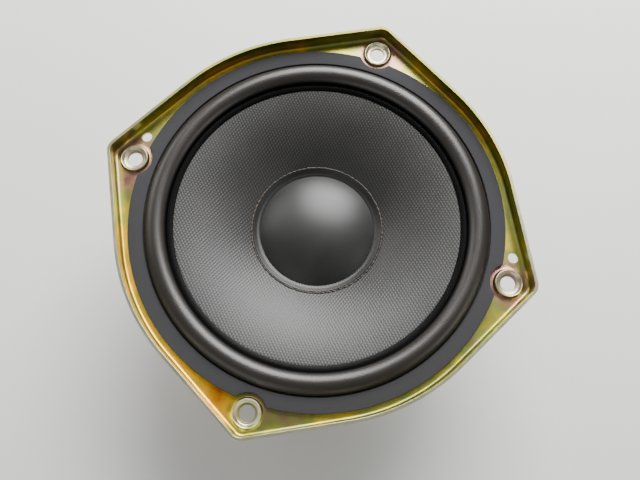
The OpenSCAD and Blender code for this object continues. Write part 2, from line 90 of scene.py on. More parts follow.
class Body(Enum):
    """The two bodies of the record."""

    FRAME = "frame"
    DIAPHRAGM = "diaphragm"


# ------------------------------------------------------------------ shared helpers


def linear(value: str) -> tuple[float, float, float, float]:
    """Turns an sRGB hex colour to linear.

    Args:
        value: Six hex digits.

    Returns:
        Linear red, green, blue and an alpha of 1.
    """
    parts = [int(value[i:i + 2], 16) / 255 for i in (0, 2, 4)]
    red, green, blue = [c / 12.92 if c <= 0.04045 else ((c + 0.055) / 1.055) ** 2.4 for c in parts]
    return red, green, blue, 1.0


def add_node(tree: bpy.types.NodeTree, kind: str, settings: Optional[dict[str, Any]] = None,
             inputs: Optional[dict[Any, Any]] = None) -> bpy.types.Node:
    """Adds a node to a tree, with its settings, its values and its links.

    Args:
        tree: Shader or geometry tree.
        kind: The node's type name.
        settings: Attribute names and values; "stops" holds a colour ramp's places and colours.
        inputs: Socket names or places, each with a value or the socket that feeds it.

    Returns:
        The new node.
    """
    made = tree.nodes.new(kind)
    for name, value in (settings or {}).items():
        if name == "stops":
            ramp = made.color_ramp.elements
            while len(ramp) < len(value):
                ramp.new(0.5)
            for element, (place, colour) in zip(ramp, value):
                element.position, element.color = place, linear(colour)
        else:
            setattr(made, name, value)
    for name, value in (inputs or {}).items():
        if isinstance(value, bpy.types.NodeSocket):
            tree.links.new(value, made.inputs[name])
        else:
            made.inputs[name].default_value = value
    return made


def maths(tree: bpy.types.NodeTree, operation: str, *values: Any) -> bpy.types.NodeSocket:
    """Adds a math node fed by numbers or sockets, and gives its result."""
    return add_node(tree, "ShaderNodeMath", {"operation": operation},
                    dict(enumerate(values))).outputs[0]


def smooth(value: float) -> float:
    """Eases a number between 0 and 1 at both ends."""
    clipped = min(1.0, max(0.0, value))
    return clipped * clipped * (3 - 2 * clipped)


def polar(radius: float, degrees: float, height: float = 0.0) -> Vector:
    """Gives the point at a radius, an angle and a height."""
    turn = math.radians(degrees)
    return Vector((radius * math.cos(turn), radius * math.sin(turn), height))


def box_mm(node: str) -> tuple[Vector, Vector]:
    """Gives a CAD node's lowest and highest corner in millimetres."""
    low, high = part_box(node)
    return low / MM, high / MM


def soften(corners: list[Pair], radii: Iterable[float], steps: int = 4) -> list[Pair]:
    """Rounds the corners of a closed outline.

    Args:
        corners: The outline's corner points in order.
        radii: The rounding of each corner; 0 keeps it sharp.
        steps: Segments in each rounded corner.

    Returns:
        The points of the rounded outline.
    """
    made: list[Pair] = []
    count = len(corners)
    for index, radius in enumerate(radii):
        here = Vector(corners[index])
        before = (Vector(corners[index - 1]) - here)
        after = (Vector(corners[(index + 1) % count]) - here)
        if radius <= 0:
            made.append((here.x, here.y))
            continue
        half = before.angle(after) / 2
        reach = min(radius / math.tan(half), before.length * 0.49, after.length * 0.49)
        start, end = here + before.normalized() * reach, here + after.normalized() * reach
        for step in range(steps + 1):
            part = step / steps
            spot = start.lerp(here, part).lerp(here.lerp(end, part), part)
            made.append((spot.x, spot.y))
    return made


@dataclass
class MeshPlan:
    """Points and faces of one piece, with points at the same place shared."""

    points: list[Vector] = field(default_factory=list)
    faces: list[tuple[int, ...]] = field(default_factory=list)
    known: dict[tuple[float, ...], int] = field(default_factory=dict)

    def point(self, spot: Vector) -> int:
        """Gives the number of the point at a place, and adds it if it is new.

        Args:
            spot: The place in millimetres.

        Returns:
            The point's number.
        """
        key = tuple(round(c, 3) for c in spot)
        if key not in self.known:
            self.known[key] = len(self.points)
            self.points.append(Vector(spot))
        return self.known[key]

    def face(self, spots: Iterable[Vector]) -> None:
        """Adds a face through places, without corners that fall together.

        Args:
            spots: The face's corners in order.
        """
        ring: list[int] = []
        for spot in spots:
            number = self.point(spot)
            if number not in ring:
                ring.append(number)
        if len(ring) > 2:
            self.faces.append(tuple(ring))

    def skin(self, rows: list[list[Vector]]) -> None:
        """Joins each row of a closed section to the next.

        Args:
            rows: The section's points, once for each step along the piece.
        """
        for low, high in zip(rows, rows[1:]):
            for k in range(len(low)):
                after = (k + 1) % len(low)
                self.face((low[k], low[after], high[after], high[k]))

    def turned(self, section: list[Pair], segments: int, centre: Pair = (0.0, 0.0),
               closed: bool = True) -> None:
        """Turns a section of radius and height pairs round an upright axis.

        Args:
            section: The section's points in order.
            segments: Segments round the axis.
            centre: Where the axis stands.
            closed: Whether the section's last point joins its first.
        """
        base = Vector((centre[0], centre[1], 0))
        rows = [[base + polar(r, 360 * k / segments, z) for k in range(segments)]
                for r, z in section]
        self.skin(rows + rows[:1] if closed else rows)

    def raised(self, outline: list[Pair], low: float, high: float) -> None:
        """Raises a closed outline between two heights.

        Args:
            outline: The outline's points in order.
            low: Height of its lower face.
            high: Height of its upper face.
        """
        floor = [Vector((x, y, low)) for x, y in outline]
        roof = [Vector((x, y, high)) for x, y in outline]
        self.face(reversed(floor))
        self.face(roof)
        for k in range(len(outline)):
            after = (k + 1) % len(outline)
            self.face((floor[k], floor[after], roof[after], roof[k]))

    def swept(self, path: list[Vector], radius: float, sides: int = 8) -> None:
        """Sweeps a round section along a path and closes its ends.

        Args:
            path: Points of the path.
            radius: Radius of the section.
            sides: Sides of the section.
        """
        rings: list[list[Vector]] = []
        side = Vector((0, 0, 1))
        for index, spot in enumerate(path):
            along = (path[min(index + 1, len(path) - 1)] - path[max(index - 1, 0)]).normalized()
            side = (side - along * side.dot(along)).normalized()
            other = along.cross(side)
            rings.append([spot + radius * (side * math.cos(a) + other * math.sin(a))
                          for a in (2 * math.pi * k / sides for k in range(sides))])
        self.skin(rings)
        self.face(reversed(rings[0]))
        self.face(rings[-1])

    def dab(self, centre: Vector, radii: Vector, seed: int, rough: float = 0.12) -> None:
        """Adds a lumpy closed dab, such as solder that has run.

        Args:
            centre: The dab's middle.
            radii: Its half sizes.
            seed: Chooses its lumps.
            rough: Height of the lumps as a share of the size.
        """
        rows, columns = 12, 20
        rings: list[list[Vector]] = []
        for row in range(rows + 1):
            lift = math.pi * (row / rows - 0.5)
            ring = []
            for column in range(columns):
                turn = 2 * math.pi * column / columns
                way = Vector((math.cos(lift) * math.cos(turn), math.cos(lift) * math.sin(turn),
                              math.sin(lift)))
                swell = 1 + rough * noise.noise(way * 1.7 + Vector((seed, 0, 0)))
                ring.append(centre + Vector(a * b for a, b in zip(way, radii)) * swell)
            rings.append(ring)
        self.skin(rings)

    def make(self, name: str, sharp: float = 38.0) -> bpy.types.Object:
        """Makes the object, with its faces outwards and smooth up to an angle.

        Args:
            name: The object's name.
            sharp: Edges that turn by more than this many degrees stay sharp.

        Returns:
            An object at the origin, in metres.
        """
        mesh = bpy.data.meshes.new(name)
        mesh.from_pydata([p * MM for p in self.points], [], self.faces)
        work = bmesh.new()
        work.from_mesh(mesh)
        bmesh.ops.recalc_face_normals(work, faces=work.faces)
        work.to_mesh(mesh)
        work.free()
        mesh.shade_smooth()
        mesh.set_sharp_from_angle(angle=math.radians(sharp))
        made = bpy.data.objects.new(name, mesh)
        bpy.context.scene.collection.objects.link(made)
        return made


def grow(tree: bpy.types.NodeTree, piece: bpy.types.Object, values: dict[str, Any]) -> None:
    """Runs a geometry tree on an object and keeps the result as a plain mesh.

    Args:
        tree: The geometry tree.
        piece: The object that it starts from, and that takes the result.
        values: The tree's input names and their values.
    """
    modifier = piece.modifiers.new("grow", "NODES")
    modifier.node_group = tree
    for item in tree.interface.items_tree:
        if item.item_type == "SOCKET" and item.in_out == "INPUT" and item.name in values:
            modifier[item.identifier] = values[item.name]
    bpy.context.view_layer.update()
    graph = bpy.context.evaluated_depsgraph_get()
    mesh = bpy.data.meshes.new_from_object(piece.evaluated_get(graph),
                                           preserve_all_data_layers=True, depsgraph=graph)
    piece.modifiers.remove(modifier)
    piece.data = mesh


def new_tree(name: str, inputs: dict[str, str]) -> tuple[bpy.types.NodeTree, bpy.types.Node]:
    """Starts a geometry tree with a geometry input and output.

    Args:
        name: The tree's name.
        inputs: Names and socket types of its other inputs.

    Returns:
        The tree and its input node.
    """
    tree = bpy.data.node_groups.new(name, "GeometryNodeTree")
    tree.interface.new_socket("Geometry", in_out="INPUT", socket_type="NodeSocketGeometry")
    for label, kind in inputs.items():
        tree.interface.new_socket(label, in_out="INPUT", socket_type=kind)
    tree.interface.new_socket("Geometry", in_out="OUTPUT", socket_type="NodeSocketGeometry")
    return tree, add_node(tree, "NodeGroupInput")


def end_tree(tree: bpy.types.NodeTree, shape: bpy.types.NodeSocket,
             finish: bpy.types.NodeSocket) -> None:
    """Ends a geometry tree in real, dressed geometry.

    Args:
        tree: The geometry tree.
        shape: The geometry so far.
        finish: The material that it takes.
    """
    real = add_node(tree, "GeometryNodeRealizeInstances", inputs={"Geometry": shape})
    dressed = add_node(tree, "GeometryNodeSetMaterial",
                       inputs={"Geometry": real.outputs[0], "Material": finish})
    add_node(tree, "NodeGroupOutput", inputs={"Geometry": dressed.outputs[0]})


# ------------------------------------------------------------------ finishes


@dataclass(frozen=True)
class Finish:
    """What every finish has: a name, a slot of the record, and its base values."""

    name: str
    slot: str
    roughness: float = 0.5
    metallic: float = 0.0

    def material(self) -> bpy.types.Material:
        """Makes the material, or gives the one made before.

        Returns:
            The material.
        """
        made = bpy.data.materials.get(self.name)
        if made:
            return made
        made = bpy.data.materials.new(self.name)
        made.use_nodes = True
        tree = made.node_tree
        shader = tree.nodes["Principled BSDF"]
        shader.inputs["Metallic"].default_value = self.metallic
        shader.inputs["Roughness"].default_value = self.roughness
        place = add_node(tree, "ShaderNodeTexCoord").outputs["Object"]
        self.dress(tree, shader, place)
        return made

    def dress(self, tree: bpy.types.NodeTree, shader: bpy.types.Node,
              place: bpy.types.NodeSocket) -> None:
        """Adds the finish's own nodes, which read object coordinates in metres from place."""
        raise NotImplementedError


def masked(tree: bpy.types.NodeTree, colour: bpy.types.NodeSocket, mask: str,
           mask_colour: str) -> bpy.types.NodeSocket:
    """Covers a colour with another where a point attribute says so.

    Args:
        tree: The material's tree.
        colour: The colour underneath.
        mask: The attribute's name; without a name nothing is covered.
        mask_colour: The colour on top, as six hex digits.

    Returns:
        The resulting colour.
    """
    if not mask:
        return colour
    where = add_node(tree, "ShaderNodeAttribute", {"attribute_name": mask})
    return add_node(tree, "ShaderNodeMix", {"data_type": "RGBA"}, {
        0: where.outputs["Fac"], 6: colour, 7: linear(mask_colour)}).outputs[2]


@dataclass(frozen=True)
class Grained(Finish):
    """A finish of two close colours in soft patches, over a fine grain."""

    dark: str = "404040"
    light: str = "606060"
    patch_mm: float = 8.0
    grain_mm: float = 0.3
    grain_height_mm: float = 0.01
    roughness_spread: float = 0.1
    coat: float = 0.0
    coat_roughness: float = 0.1
    speckle: float = 0.0
    mask: str = ""
    mask_colour: str = "000000"

    def dress(self, tree: bpy.types.NodeTree, shader: bpy.types.Node,
              place: bpy.types.NodeSocket) -> None:
        """Adds the patches, the spread of gloss and the grain.

        Args:
            tree: The material's tree.
            shader: Its surface shader.
            place: Object coordinates in metres.
        """
        patches = add_node(tree, "ShaderNodeTexNoise", inputs={
            "Vector": place, "Scale": 1 / (self.patch_mm * MM), "Detail": 4.0, "Roughness": 0.6})
        grain = add_node(tree, "ShaderNodeTexNoise", inputs={
            "Vector": place, "Scale": 1 / (self.grain_mm * MM), "Detail": 3.0, "Roughness": 0.6})
        speckled = maths(tree, "MULTIPLY_ADD", grain.outputs["Fac"], self.speckle,
                         patches.outputs["Fac"])
        ramp = add_node(tree, "ShaderNodeValToRGB", {"stops": [
            (0.3 + self.speckle / 2, self.dark), (0.7 + self.speckle / 2, self.light)]},
            {"Fac": speckled})
        colour = masked(tree, ramp.outputs["Color"], self.mask, self.mask_colour)
        tree.links.new(colour, shader.inputs["Base Color"])
        if self.mask:
            where = add_node(tree, "ShaderNodeAttribute", {"attribute_name": self.mask})
            level = add_node(tree, "ShaderNodeMapRange", inputs={
                "Value": where.outputs["Fac"], "To Min": 0.5, "To Max": 0.06})
            tree.links.new(level.outputs["Result"], shader.inputs["Specular IOR Level"])
        gloss = add_node(tree, "ShaderNodeMapRange", inputs={
            "Value": patches.outputs["Fac"], "To Min": self.roughness - self.roughness_spread,
            "To Max": self.roughness + self.roughness_spread})
        tree.links.new(gloss.outputs["Result"], shader.inputs["Roughness"])
        bump = add_node(tree, "ShaderNodeBump", inputs={
            "Strength": 0.8, "Distance": self.grain_height_mm * MM,
            "Height": grain.outputs["Fac"]})
        tree.links.new(bump.outputs["Normal"], shader.inputs["Normal"])
        shader.inputs["Coat Weight"].default_value = self.coat
        shader.inputs["Coat Roughness"].default_value = self.coat_roughness


@dataclass(frozen=True)
class YellowPassivate(Finish):
    """Zinc with a yellow chromate film: the film's thickness gives green, gold, orange or pink."""

    patch_mm: float = 11.0
    streak_mm: float = 3.0
    cloud_share: float = 0.5
    streak_share: float = 0.22

    def dress(self, tree: bpy.types.NodeTree, shader: bpy.types.Node,
              place: bpy.types.NodeSocket) -> None:
        """Adds the film's colours from its thickness, which carries some painted reflection, the pale steel
        colour of the cut edge with painted highlights and a painted reflection, and painted shade on the
        rim.

        Args:
            tree: The material's tree.
            shader: Its surface shader.
            place: Object coordinates in metres.
        """
        cloud = add_node(tree, "ShaderNodeTexNoise", inputs={
            "Vector": place, "Scale": 1 / (self.patch_mm * MM), "Detail": 3.0,
            "Roughness": 0.55, "Distortion": 0.6})
        streak = add_node(tree, "ShaderNodeTexNoise", inputs={
            "Vector": place, "Scale": 1 / (self.streak_mm * MM), "Detail": 5.0})
        film = add_node(tree, "ShaderNodeAttribute", {"attribute_name": "film"})
        clouded = maths(tree, "MULTIPLY_ADD", cloud.outputs["Fac"], self.cloud_share,
                        film.outputs["Fac"])
        thickness = maths(tree, "MULTIPLY_ADD", streak.outputs["Fac"], self.streak_share, clouded)
        colour = add_node(tree, "ShaderNodeValToRGB", {"stops": [
            (0.24, "9C7268"), (0.33, "A88C66"), (0.41, "929A52"), (0.55, "C4AE40"),
            (0.76, "FFC02A"), (0.98, "C4501C")]}, {"Fac": thickness})
        # Pale steel colour: slight wear on the rim's cut edge, plus painted highlights on the rim and screw
        # rings and a painted reflection on the fold
        bare = add_node(tree, "ShaderNodeAttribute", {"attribute_name": "bare"})
        mixed = add_node(tree, "ShaderNodeMix", {"data_type": "RGBA"}, {
            0: bare.outputs["Fac"], 6: colour.outputs["Color"], 7: linear("DAD8C2")})
        # Painted shade: dark olive on the rim's side away from the light
        dull = add_node(tree, "ShaderNodeAttribute", {"attribute_name": "dull"})
        rim_shaded = add_node(tree, "ShaderNodeMix", {"data_type": "RGBA"}, {
            0: dull.outputs["Fac"], 6: mixed.outputs[2], 7: linear("4C491E")})
        tree.links.new(rim_shaded.outputs[2], shader.inputs["Base Color"])
        gloss = add_node(tree, "ShaderNodeMapRange", inputs={
            "Value": streak.outputs["Fac"], "To Min": self.roughness - 0.08,
            "To Max": self.roughness + 0.1})
        tree.links.new(gloss.outputs["Result"], shader.inputs["Roughness"])
        # Rolled sheet keeps a faint orange peel under the plating
        peel = add_node(tree, "ShaderNodeTexNoise", inputs={
            "Vector": place, "Scale": 1 / (0.9 * MM), "Detail": 3.0})
        bump = add_node(tree, "ShaderNodeBump", inputs={
            "Strength": 0.6, "Distance": 0.012 * MM, "Height": peel.outputs["Fac"]})
        tree.links.new(bump.outputs["Normal"], shader.inputs["Normal"])


@dataclass(frozen=True)
class WovenCloth(Finish):
    """Impregnated cloth: two sets of threads, darker between them, with resin on the crowns."""

    gap: str = "303032"
    crown: str = "8A8A8C"
    pitch_mm: float = 0.93
    thread_angles: Pair = (0.0, 114.0)
    thread_height_mm: float = 0.09
    patch_mm: float = 14.0
    contrast: float = 1.0
    mask: str = ""
    mask_colour: str = "000000"

    def dress(self, tree: bpy.types.NodeTree, shader: bpy.types.Node,
              place: bpy.types.NodeSocket) -> None:
        """Adds the two thread sets, the colour between them and their relief.

        Args:
            tree: The material's tree.
            shader: Its surface shader.
            place: Object coordinates in metres.
        """
        threads = []
        for angle in self.thread_angles:
            turned = add_node(tree, "ShaderNodeMapping", inputs={
                "Vector": place, "Rotation": (0.0, 0.0, -math.radians(angle))})
            threads.append(add_node(tree, "ShaderNodeTexWave", inputs={
                "Vector": turned.outputs[0], "Scale": math.pi / 10 / (self.pitch_mm * MM),
                "Distortion": 0.5, "Detail": 1.0, "Detail Scale": 0.6}).outputs["Fac"])
        crossed = maths(tree, "MULTIPLY", *threads)
        added = maths(tree, "ADD", *threads)
        weave = maths(tree, "MULTIPLY_ADD", added, 0.22, crossed)
        patches = add_node(tree, "ShaderNodeTexNoise", inputs={
            "Vector": place, "Scale": 1 / (self.patch_mm * MM), "Detail": 4.0})
        tone = maths(tree, "MULTIPLY_ADD", patches.outputs["Fac"], 0.35, -0.12)
        shade = maths(tree, "MULTIPLY_ADD", weave, 0.6 * self.contrast, tone)
        ramp = add_node(tree, "ShaderNodeValToRGB", {"stops": [(0.0, self.gap), (1.0, self.crown)]},
                        {"Fac": shade})
        colour = masked(tree, ramp.outputs["Color"], self.mask, self.mask_colour)
        tree.links.new(colour, shader.inputs["Base Color"])
        bump = add_node(tree, "ShaderNodeBump", inputs={
            "Strength": 0.7, "Distance": self.thread_height_mm * MM, "Height": weave})
        tree.links.new(bump.outputs["Normal"], shader.inputs["Normal"])


# Pressed steel, zinc plated and passivated yellow: a satin metal with a drifting rainbow film
PASSIVATE = YellowPassivate("zinc_yellow_chromate", "zinc_chromate", 0.34, 1.0)
# Die-cut fibre board: dead matt, slightly fluffy slate grey
BOARD = Grained("fibre_board_die_cut", "gasket_felt", 0.93, 0.0, "2B2B2D", "434344", 2.0, 0.45,
                0.1, 0.03, speckle=1.4)
# Moulded nitrile rubber: warm dark grey with a broad sheen, black on the adhesive-covered inner land, and
# black as painted shade in the crease at the roll's inner foot. Its grain is drawn about twice as coarse as
# it is, so that it shows
RUBBER = Grained("nitrile_rubber_moulded", "surround_rubber", 0.36, 0.0, "211D19", "413B34", 9.0,
                 0.45, 0.07, 0.05, speckle=1.6, mask="glued", mask_colour="050505")
# Coarse open cloth, resin dipped: grey crowns over nearly black gaps
CONE_CLOTH = WovenCloth("woven_cloth_resin_dipped", "cone_cloth", 0.47, 0.0, "11100F", "444240",
                        thread_height_mm=0.055, contrast=0.55)
# Finer cloth, pressed and lacquered: dark satin with a soft highlight
CAP_CLOTH = WovenCloth("lacquered_cloth_pressed", "cap_cloth", 0.43, 0.0, "151514", "383735",
                       0.62, (8.0, 98.0), 0.012, 9.0, 0.45, "glued", "0F0D0B")
# Contact adhesive, brushed and dried: brown, glossy and uneven
GLUE = Grained("contact_adhesive_dried", "adhesive", 0.55, 0.0, "1B1713", "3A3124", 9.0, 0.5,
               0.05, 0.1)
# Polyimide film, wound: glossy amber
FILM = Grained("polyimide_film_wound", "former_film", 0.25, 0.0, "9A4F14", "C07624", 4.0, 0.6,
               0.004, 0.05)
# Kraft paper, wrapped: matt light brown with fibres
PAPER = Grained("kraft_paper_wrapped", "kraft_paper", 0.85, 0.0, "8F6B41", "B38C5C", 3.0, 0.25,
                0.02, 0.04)
# Copper wire, enamelled: a metal under a clear reddish coat
COPPER = Grained("copper_wire_enamelled", "copper_wire", 0.28, 1.0, "A4501F", "CB7440", 3.0, 0.5,
                 0.003, 0.05, 0.6)
# Tin-lead solder, cooled: bright with frosted patches
SOLDER = Grained("solder_cooled", "solder", 0.3, 1.0, "A9ABAC", "D4D5D6", 0.8, 0.25, 0.012, 0.12)
# Cotton cloth, phenolic dipped and pressed hot: golden brown with an even weave
SPIDER_CLOTH = WovenCloth("phenolic_cotton_pressed", "spider_cloth", 0.7, 0.0, "8A5C22", "D6A458",
                          0.5, (0.0, 90.0), 0.04, 12.0, 0.9)
# Steel, turned and zinc plated: cool silver, satin
ZINC = Grained("steel_zinc_plated", "zinc_plate", 0.33, 1.0, "AEB4B8", "D2D6D8", 13.0, 0.5, 0.006,
               0.08)
# Sintered ferrite, ground faces: nearly black, with a dull ceramic grain
FERRITE = Grained("ferrite_sintered", "ferrite", 0.62, 0.0, "222224", "36363A", 7.0, 0.3, 0.03,
                  0.1)
# Steel rivet, cold headed and plated: bright with small dents
RIVET = Grained("rivet_steel_headed", "rivet_steel", 0.3, 1.0, "A8A498", "D8D4C4", 2.0, 0.4, 0.01,
                0.08)
# Paper laminate, punched: brown board with a faint gloss
LAMINATE = Grained("phenolic_paper_punched", "laminate", 0.42, 0.0, "5E3517", "7D4B24", 4.0, 0.2,
                   0.008, 0.06)
# Brass sheet, tinned and punched: soft silver with a warm cast
TIN = Grained("brass_tin_plated", "tin_plate", 0.28, 1.0, "C2BEB2", "DEDBD2", 3.0, 0.4, 0.004,
              0.07)
# Copper tinsel, braided: small bright facets of pinkish metal
TINSEL = Grained("copper_tinsel_braided", "tinsel", 0.38, 1.0, "A8683E", "D9A47C", 0.8, 0.15,
                 0.02, 0.1)


def hand_over(piece: bpy.types.Object, finish: Finish, body: Optional[Body],
              nodes: Iterable[str]) -> bpy.types.Object:
    """Dresses a piece, hides the CAD nodes it stands for and fixes it to its body.

    Args:
        piece: The finished object.
        finish: Its finish.
        body: The body it rides on, or None where it bends between the two.
        nodes: The CAD nodes it stands for.

    Returns:
        The same object.
    """
    piece.data.materials.clear()
    piece.data.materials.append(finish.material())
    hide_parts(*nodes)
    if body is not None:
        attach(piece, body.value)
    LOG.info("%s: %d faces, %s", piece.name, len(piece.data.polygons), finish.name)
    return piece


def mark(piece: bpy.types.Object, name: str, value_at: Callable[[Vector], float]) -> None:
    """Writes a number at each point of a piece, for a finish to read.

    Args:
        piece: A mesh at the origin.
        name: The attribute's name.
        value_at: Gives the number at a point in millimetres.
    """
    data = piece.data.attributes.new(name, "FLOAT", "POINT").data
    for number, vertex in enumerate(piece.data.vertices):
        data[number].value = value_at(vertex.co / MM)


def bend_between(piece: bpy.types.Object, share: Callable[[Vector], float]) -> None:
    """Lets a piece bend between the frame (0) and the diaphragm (1).

    Args:
        piece: A mesh at the origin.
        share: Gives the diaphragm's share at a point in millimetres.
    """
    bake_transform(piece, Body.FRAME.value, Body.DIAPHRAGM.value, (0, 0, 0), (0, 0, 1))
    weights = piece.data.attributes["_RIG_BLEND"].data
    for number, vertex in enumerate(piece.data.vertices):
        weights[number].value = share(vertex.co / MM)


def radius_of(spot: Vector) -> float:
    """Gives a point's distance from the axis."""
    return math.hypot(spot.x, spot.y)


# ------------------------------------------------------------------ basket


@dataclass
class Basket:
    """The pressed steel basket: lip, flange, screw rings, collar, legs, seat, cup and floor."""

    sheet: float = 1.0
    round_r: float = 65.6
    ear_r: float = 69.1
    ear_round: float = 4.5
    fold: float = 1.1
    bulge: float = 0.02
    screw_circle: float = 65.5
    screw_r: float = 2.5
    locating_r: float = 1.7
    locating_angles: Pair = (127.2, 322.8)
    crest_r: float = 4.35
    crest_h: float = 1.2
    collar_r: float = 57.2
    collar_h: float = 7.0
    seat: Pair = (38.5, 30.0)
    cup_r: float = 34.3
    floor_edge: Pair = (31.3, 23.0)
    floor_inner_r: float = 17.5
    window_low: Pair = (20.25, 32.2)
    window_high: Pair = (29.46, 45.0)
    window_round: float = 4.0
    rib_r: float = 2.8
    rib_h: float = 1.6
    segments: int = 240
    # The gold side, the orange spot and the lip streaks are partly the film's colour and partly painted
    # reflection
    gold_film_and_reflection_side: float = 190.0
    orange_film_and_reflection_spot: float = 217.0
    # The next two angles place a painted reflection on the fold and lip wall, and a painted highlight on the
    # rim's top
    fold_reflection_side: float = 200.0
    rim_highlight_side: float = 235.0
    lip_film_and_reflection_streaks: tuple[Pair, ...] = ((97.0, 45.0), (15.0, 32.0))
    fronts: MeshPlan = field(default_factory=MeshPlan)
    backs: list[Vector] = field(default_factory=list)

    def __post_init__(self) -> None:
        """Takes the flange's height from the frame."""
        self.lip_z = box_mm("basket")[1].z
        self.flange_z = box_mm("front_gasket")[1].z - 1.5
        self.slope_start = Vector(self.seat)
        self.slope_end = Vector((self.collar_r, self.flange_z - self.collar_h))
        self.slope = (self.slope_end - self.slope_start).normalized()

    def add(self, front: Vector, back: Vector) -> int:
        """Adds one point of the sheet with its front and back places.

        Args:
            front: The place on the front face.
            back: The place on the back face.

        Returns:
            The point's number.
        """
        number = self.fronts.point(front)
        if number == len(self.backs):
            self.backs.append(Vector(back))
        return number

    def patch(self, rows: list[list[tuple[Vector, Vector]]], ring: bool = True) -> None:
        """Joins rows of front and back points into faces.

        Args:
            rows: Rows of pairs of a front and a back place.
            ring: Whether each row closes on itself.
        """
        for low, high in zip(rows, rows[1:]):
            for k in range(len(low) if ring else len(low) - 1):
                after = (k + 1) % len(low)
                corners = [self.add(*low[k]), self.add(*low[after]), self.add(*high[after]),
                           self.add(*high[k])]
                self.fronts.faces.append(tuple(corners))

    def outline(self) -> list[tuple[Vector, Vector]]:
        """Gives points of the flange's edge, each with its outward direction.

        The straight runs bulge by two hundredths, because points in one line make faces
        without area.

        Returns:
            Pairs of a point and its outward direction.
        """
        turn = math.degrees(math.acos((self.round_r - self.ear_round) / self.ear_r))
        made: list[tuple[Vector, Vector]] = []
        for ear in EARS:
            middle = polar(self.ear_r, ear)
            for k in range(17):
                way = polar(1, ear - turn + 2 * turn * k / 16)
                made.append((middle + way * self.ear_round, way))
            way = polar(1, ear + turn)
            for k in range(1, 12):
                start, end = middle + way * self.ear_round, way * self.round_r
                bulge = way * (4 * self.bulge * k / 12 * (1 - k / 12))
                made.append((start.lerp(end, k / 12) + bulge, way))
            for k in range(25):
                way = polar(1, ear + turn + (90 - 2 * turn) * k / 24)
                made.append((way * self.round_r, way))
            way = polar(1, ear + 90 - turn)
            following = polar(self.ear_r, ear + 90) + way * self.ear_round
            for k in range(1, 12):
                bulge = way * (4 * self.bulge * k / 12 * (1 - k / 12))
                made.append(((way * self.round_r).lerp(following, k / 12) + bulge, way))
        return made

    def lip(self) -> list[Vector]:
        """Builds the lip and its fold.

        Returns:
            The front loop where the flat flange begins.
        """
        edge = self.outline()
        turn = self.fold + self.sheet
        profile = [(self.sheet, self.lip_z, 0.0, self.lip_z)]
        for part in (0.55, 0.1):
            height = self.flange_z + self.fold + (self.lip_z - self.flange_z - self.fold) * part
            profile.append((self.sheet, height, 0.0, height))
        for k in range(9):
            a = math.pi / 2 * k / 8
            profile.append((turn - self.fold * math.cos(a),
                            self.flange_z + self.fold * (1 - math.sin(a)),
                            turn - turn * math.cos(a),
                            self.flange_z + self.fold - turn * math.sin(a)))
        profile.append((turn + 0.12, self.flange_z, turn + 0.12, self.flange_z - self.sheet))
        rows = [[(p - n * d + Vector((0, 0, z)), p - n * e + Vector((0, 0, y))) for p, n in edge]
                for d, z, e, y in profile]
        self.patch(rows)
        return [front for front, _ in rows[-1]]

    def ring_height(self, radius: float) -> float:
        """Gives the height of the bead round a screw hole: a steep outer and a gentler inner side.

        Args:
            radius: Distance from the screw hole's axis.

        Returns:
            The height above the flange.
        """
        reach = 0.68 if radius > self.crest_r else 1.05
        away = (radius - self.crest_r) / reach
        return self.crest_h * math.cos(math.pi / 2 * away) ** 2 if abs(away) < 1 else 0.0

    def hole_loops(self) -> list[list[Vector]]:
        """Builds the screw rings and gives the loops left open in the flange for the holes.

        Returns:
            The four screw rings' outer loops and the two locating holes' edges.
        """
        loops: list[list[Vector]] = []
        radii = [self.screw_r, 2.62, 2.9, 3.3, 3.45, 3.6, 3.75, 3.9, 4.05, 4.2, 4.35, 4.48, 4.6,
                 4.72, 4.85, 4.96, 5.03]
        for ear in EARS:
            middle = polar(self.screw_circle, ear)
            rows = []
            for radius in radii:
                height = self.flange_z + self.ring_height(radius)
                if radius < 3.0:
                    height -= 0.12 * (3.0 - radius) / 0.5
                rows.append([(middle + polar(radius, 7.5 * k, height),
                              middle + polar(radius, 7.5 * k, self.flange_z - self.sheet))
                             for k in range(48)])
            self.patch(rows)
            loops.append([front for front, _ in rows[-1]])
        for angle in self.locating_angles:
            middle = polar(self.screw_circle, angle)
            loops.append([middle + polar(self.locating_r, 10 * k, self.flange_z)
                          for k in range(36)])
        return loops

    def flange(self, outer: list[Vector], inner_r: float) -> None:
        """Fills the flat flange between its edge, the collar and the holes.

        Args:
            outer: The front loop where the lip's fold ends.
            inner_r: Radius where the flange bends down to the collar.
        """
        holes = self.hole_loops()
        inner = [polar(inner_r, 360 * k / self.segments, self.flange_z)
                 for k in range(self.segments)]
        points: list[Vector] = []
        edges: list[tuple[int, int]] = []
        for loop in [outer, inner, *holes]:
            first = len(points)
            points += [spot.to_2d() for spot in loop]
            edges += [(first + k, first + (k + 1) % len(loop)) for k in range(len(loop))]
        centres = [polar(self.screw_circle, ear) for ear in EARS]
        spots = [(c, 5.02) for c in centres] + [
            (polar(self.screw_circle, a), self.locating_r * 0.99) for a in self.locating_angles]
        ring = [spot.to_2d() for spot in outer]
        points += self.spread(inner_r, ring, spots)
        made, _, faces, _, _, _ = delaunay_2d_cdt(points, edges, [], 0, 1e-5)
        for triangle in faces:
            middle = sum((made[k] for k in triangle), Vector((0, 0))) / 3
            if middle.length < inner_r * 0.9998 or not self.inside(middle, ring):
                continue
            if any((middle - c.to_2d()).length < r for c, r in spots):
                continue
            numbers = [self.add(Vector((*made[k], self.flange_z)),
                                Vector((*made[k], self.flange_z - self.sheet))) for k in triangle]
            if len(set(numbers)) == 3:
                self.fronts.faces.append(tuple(numbers))

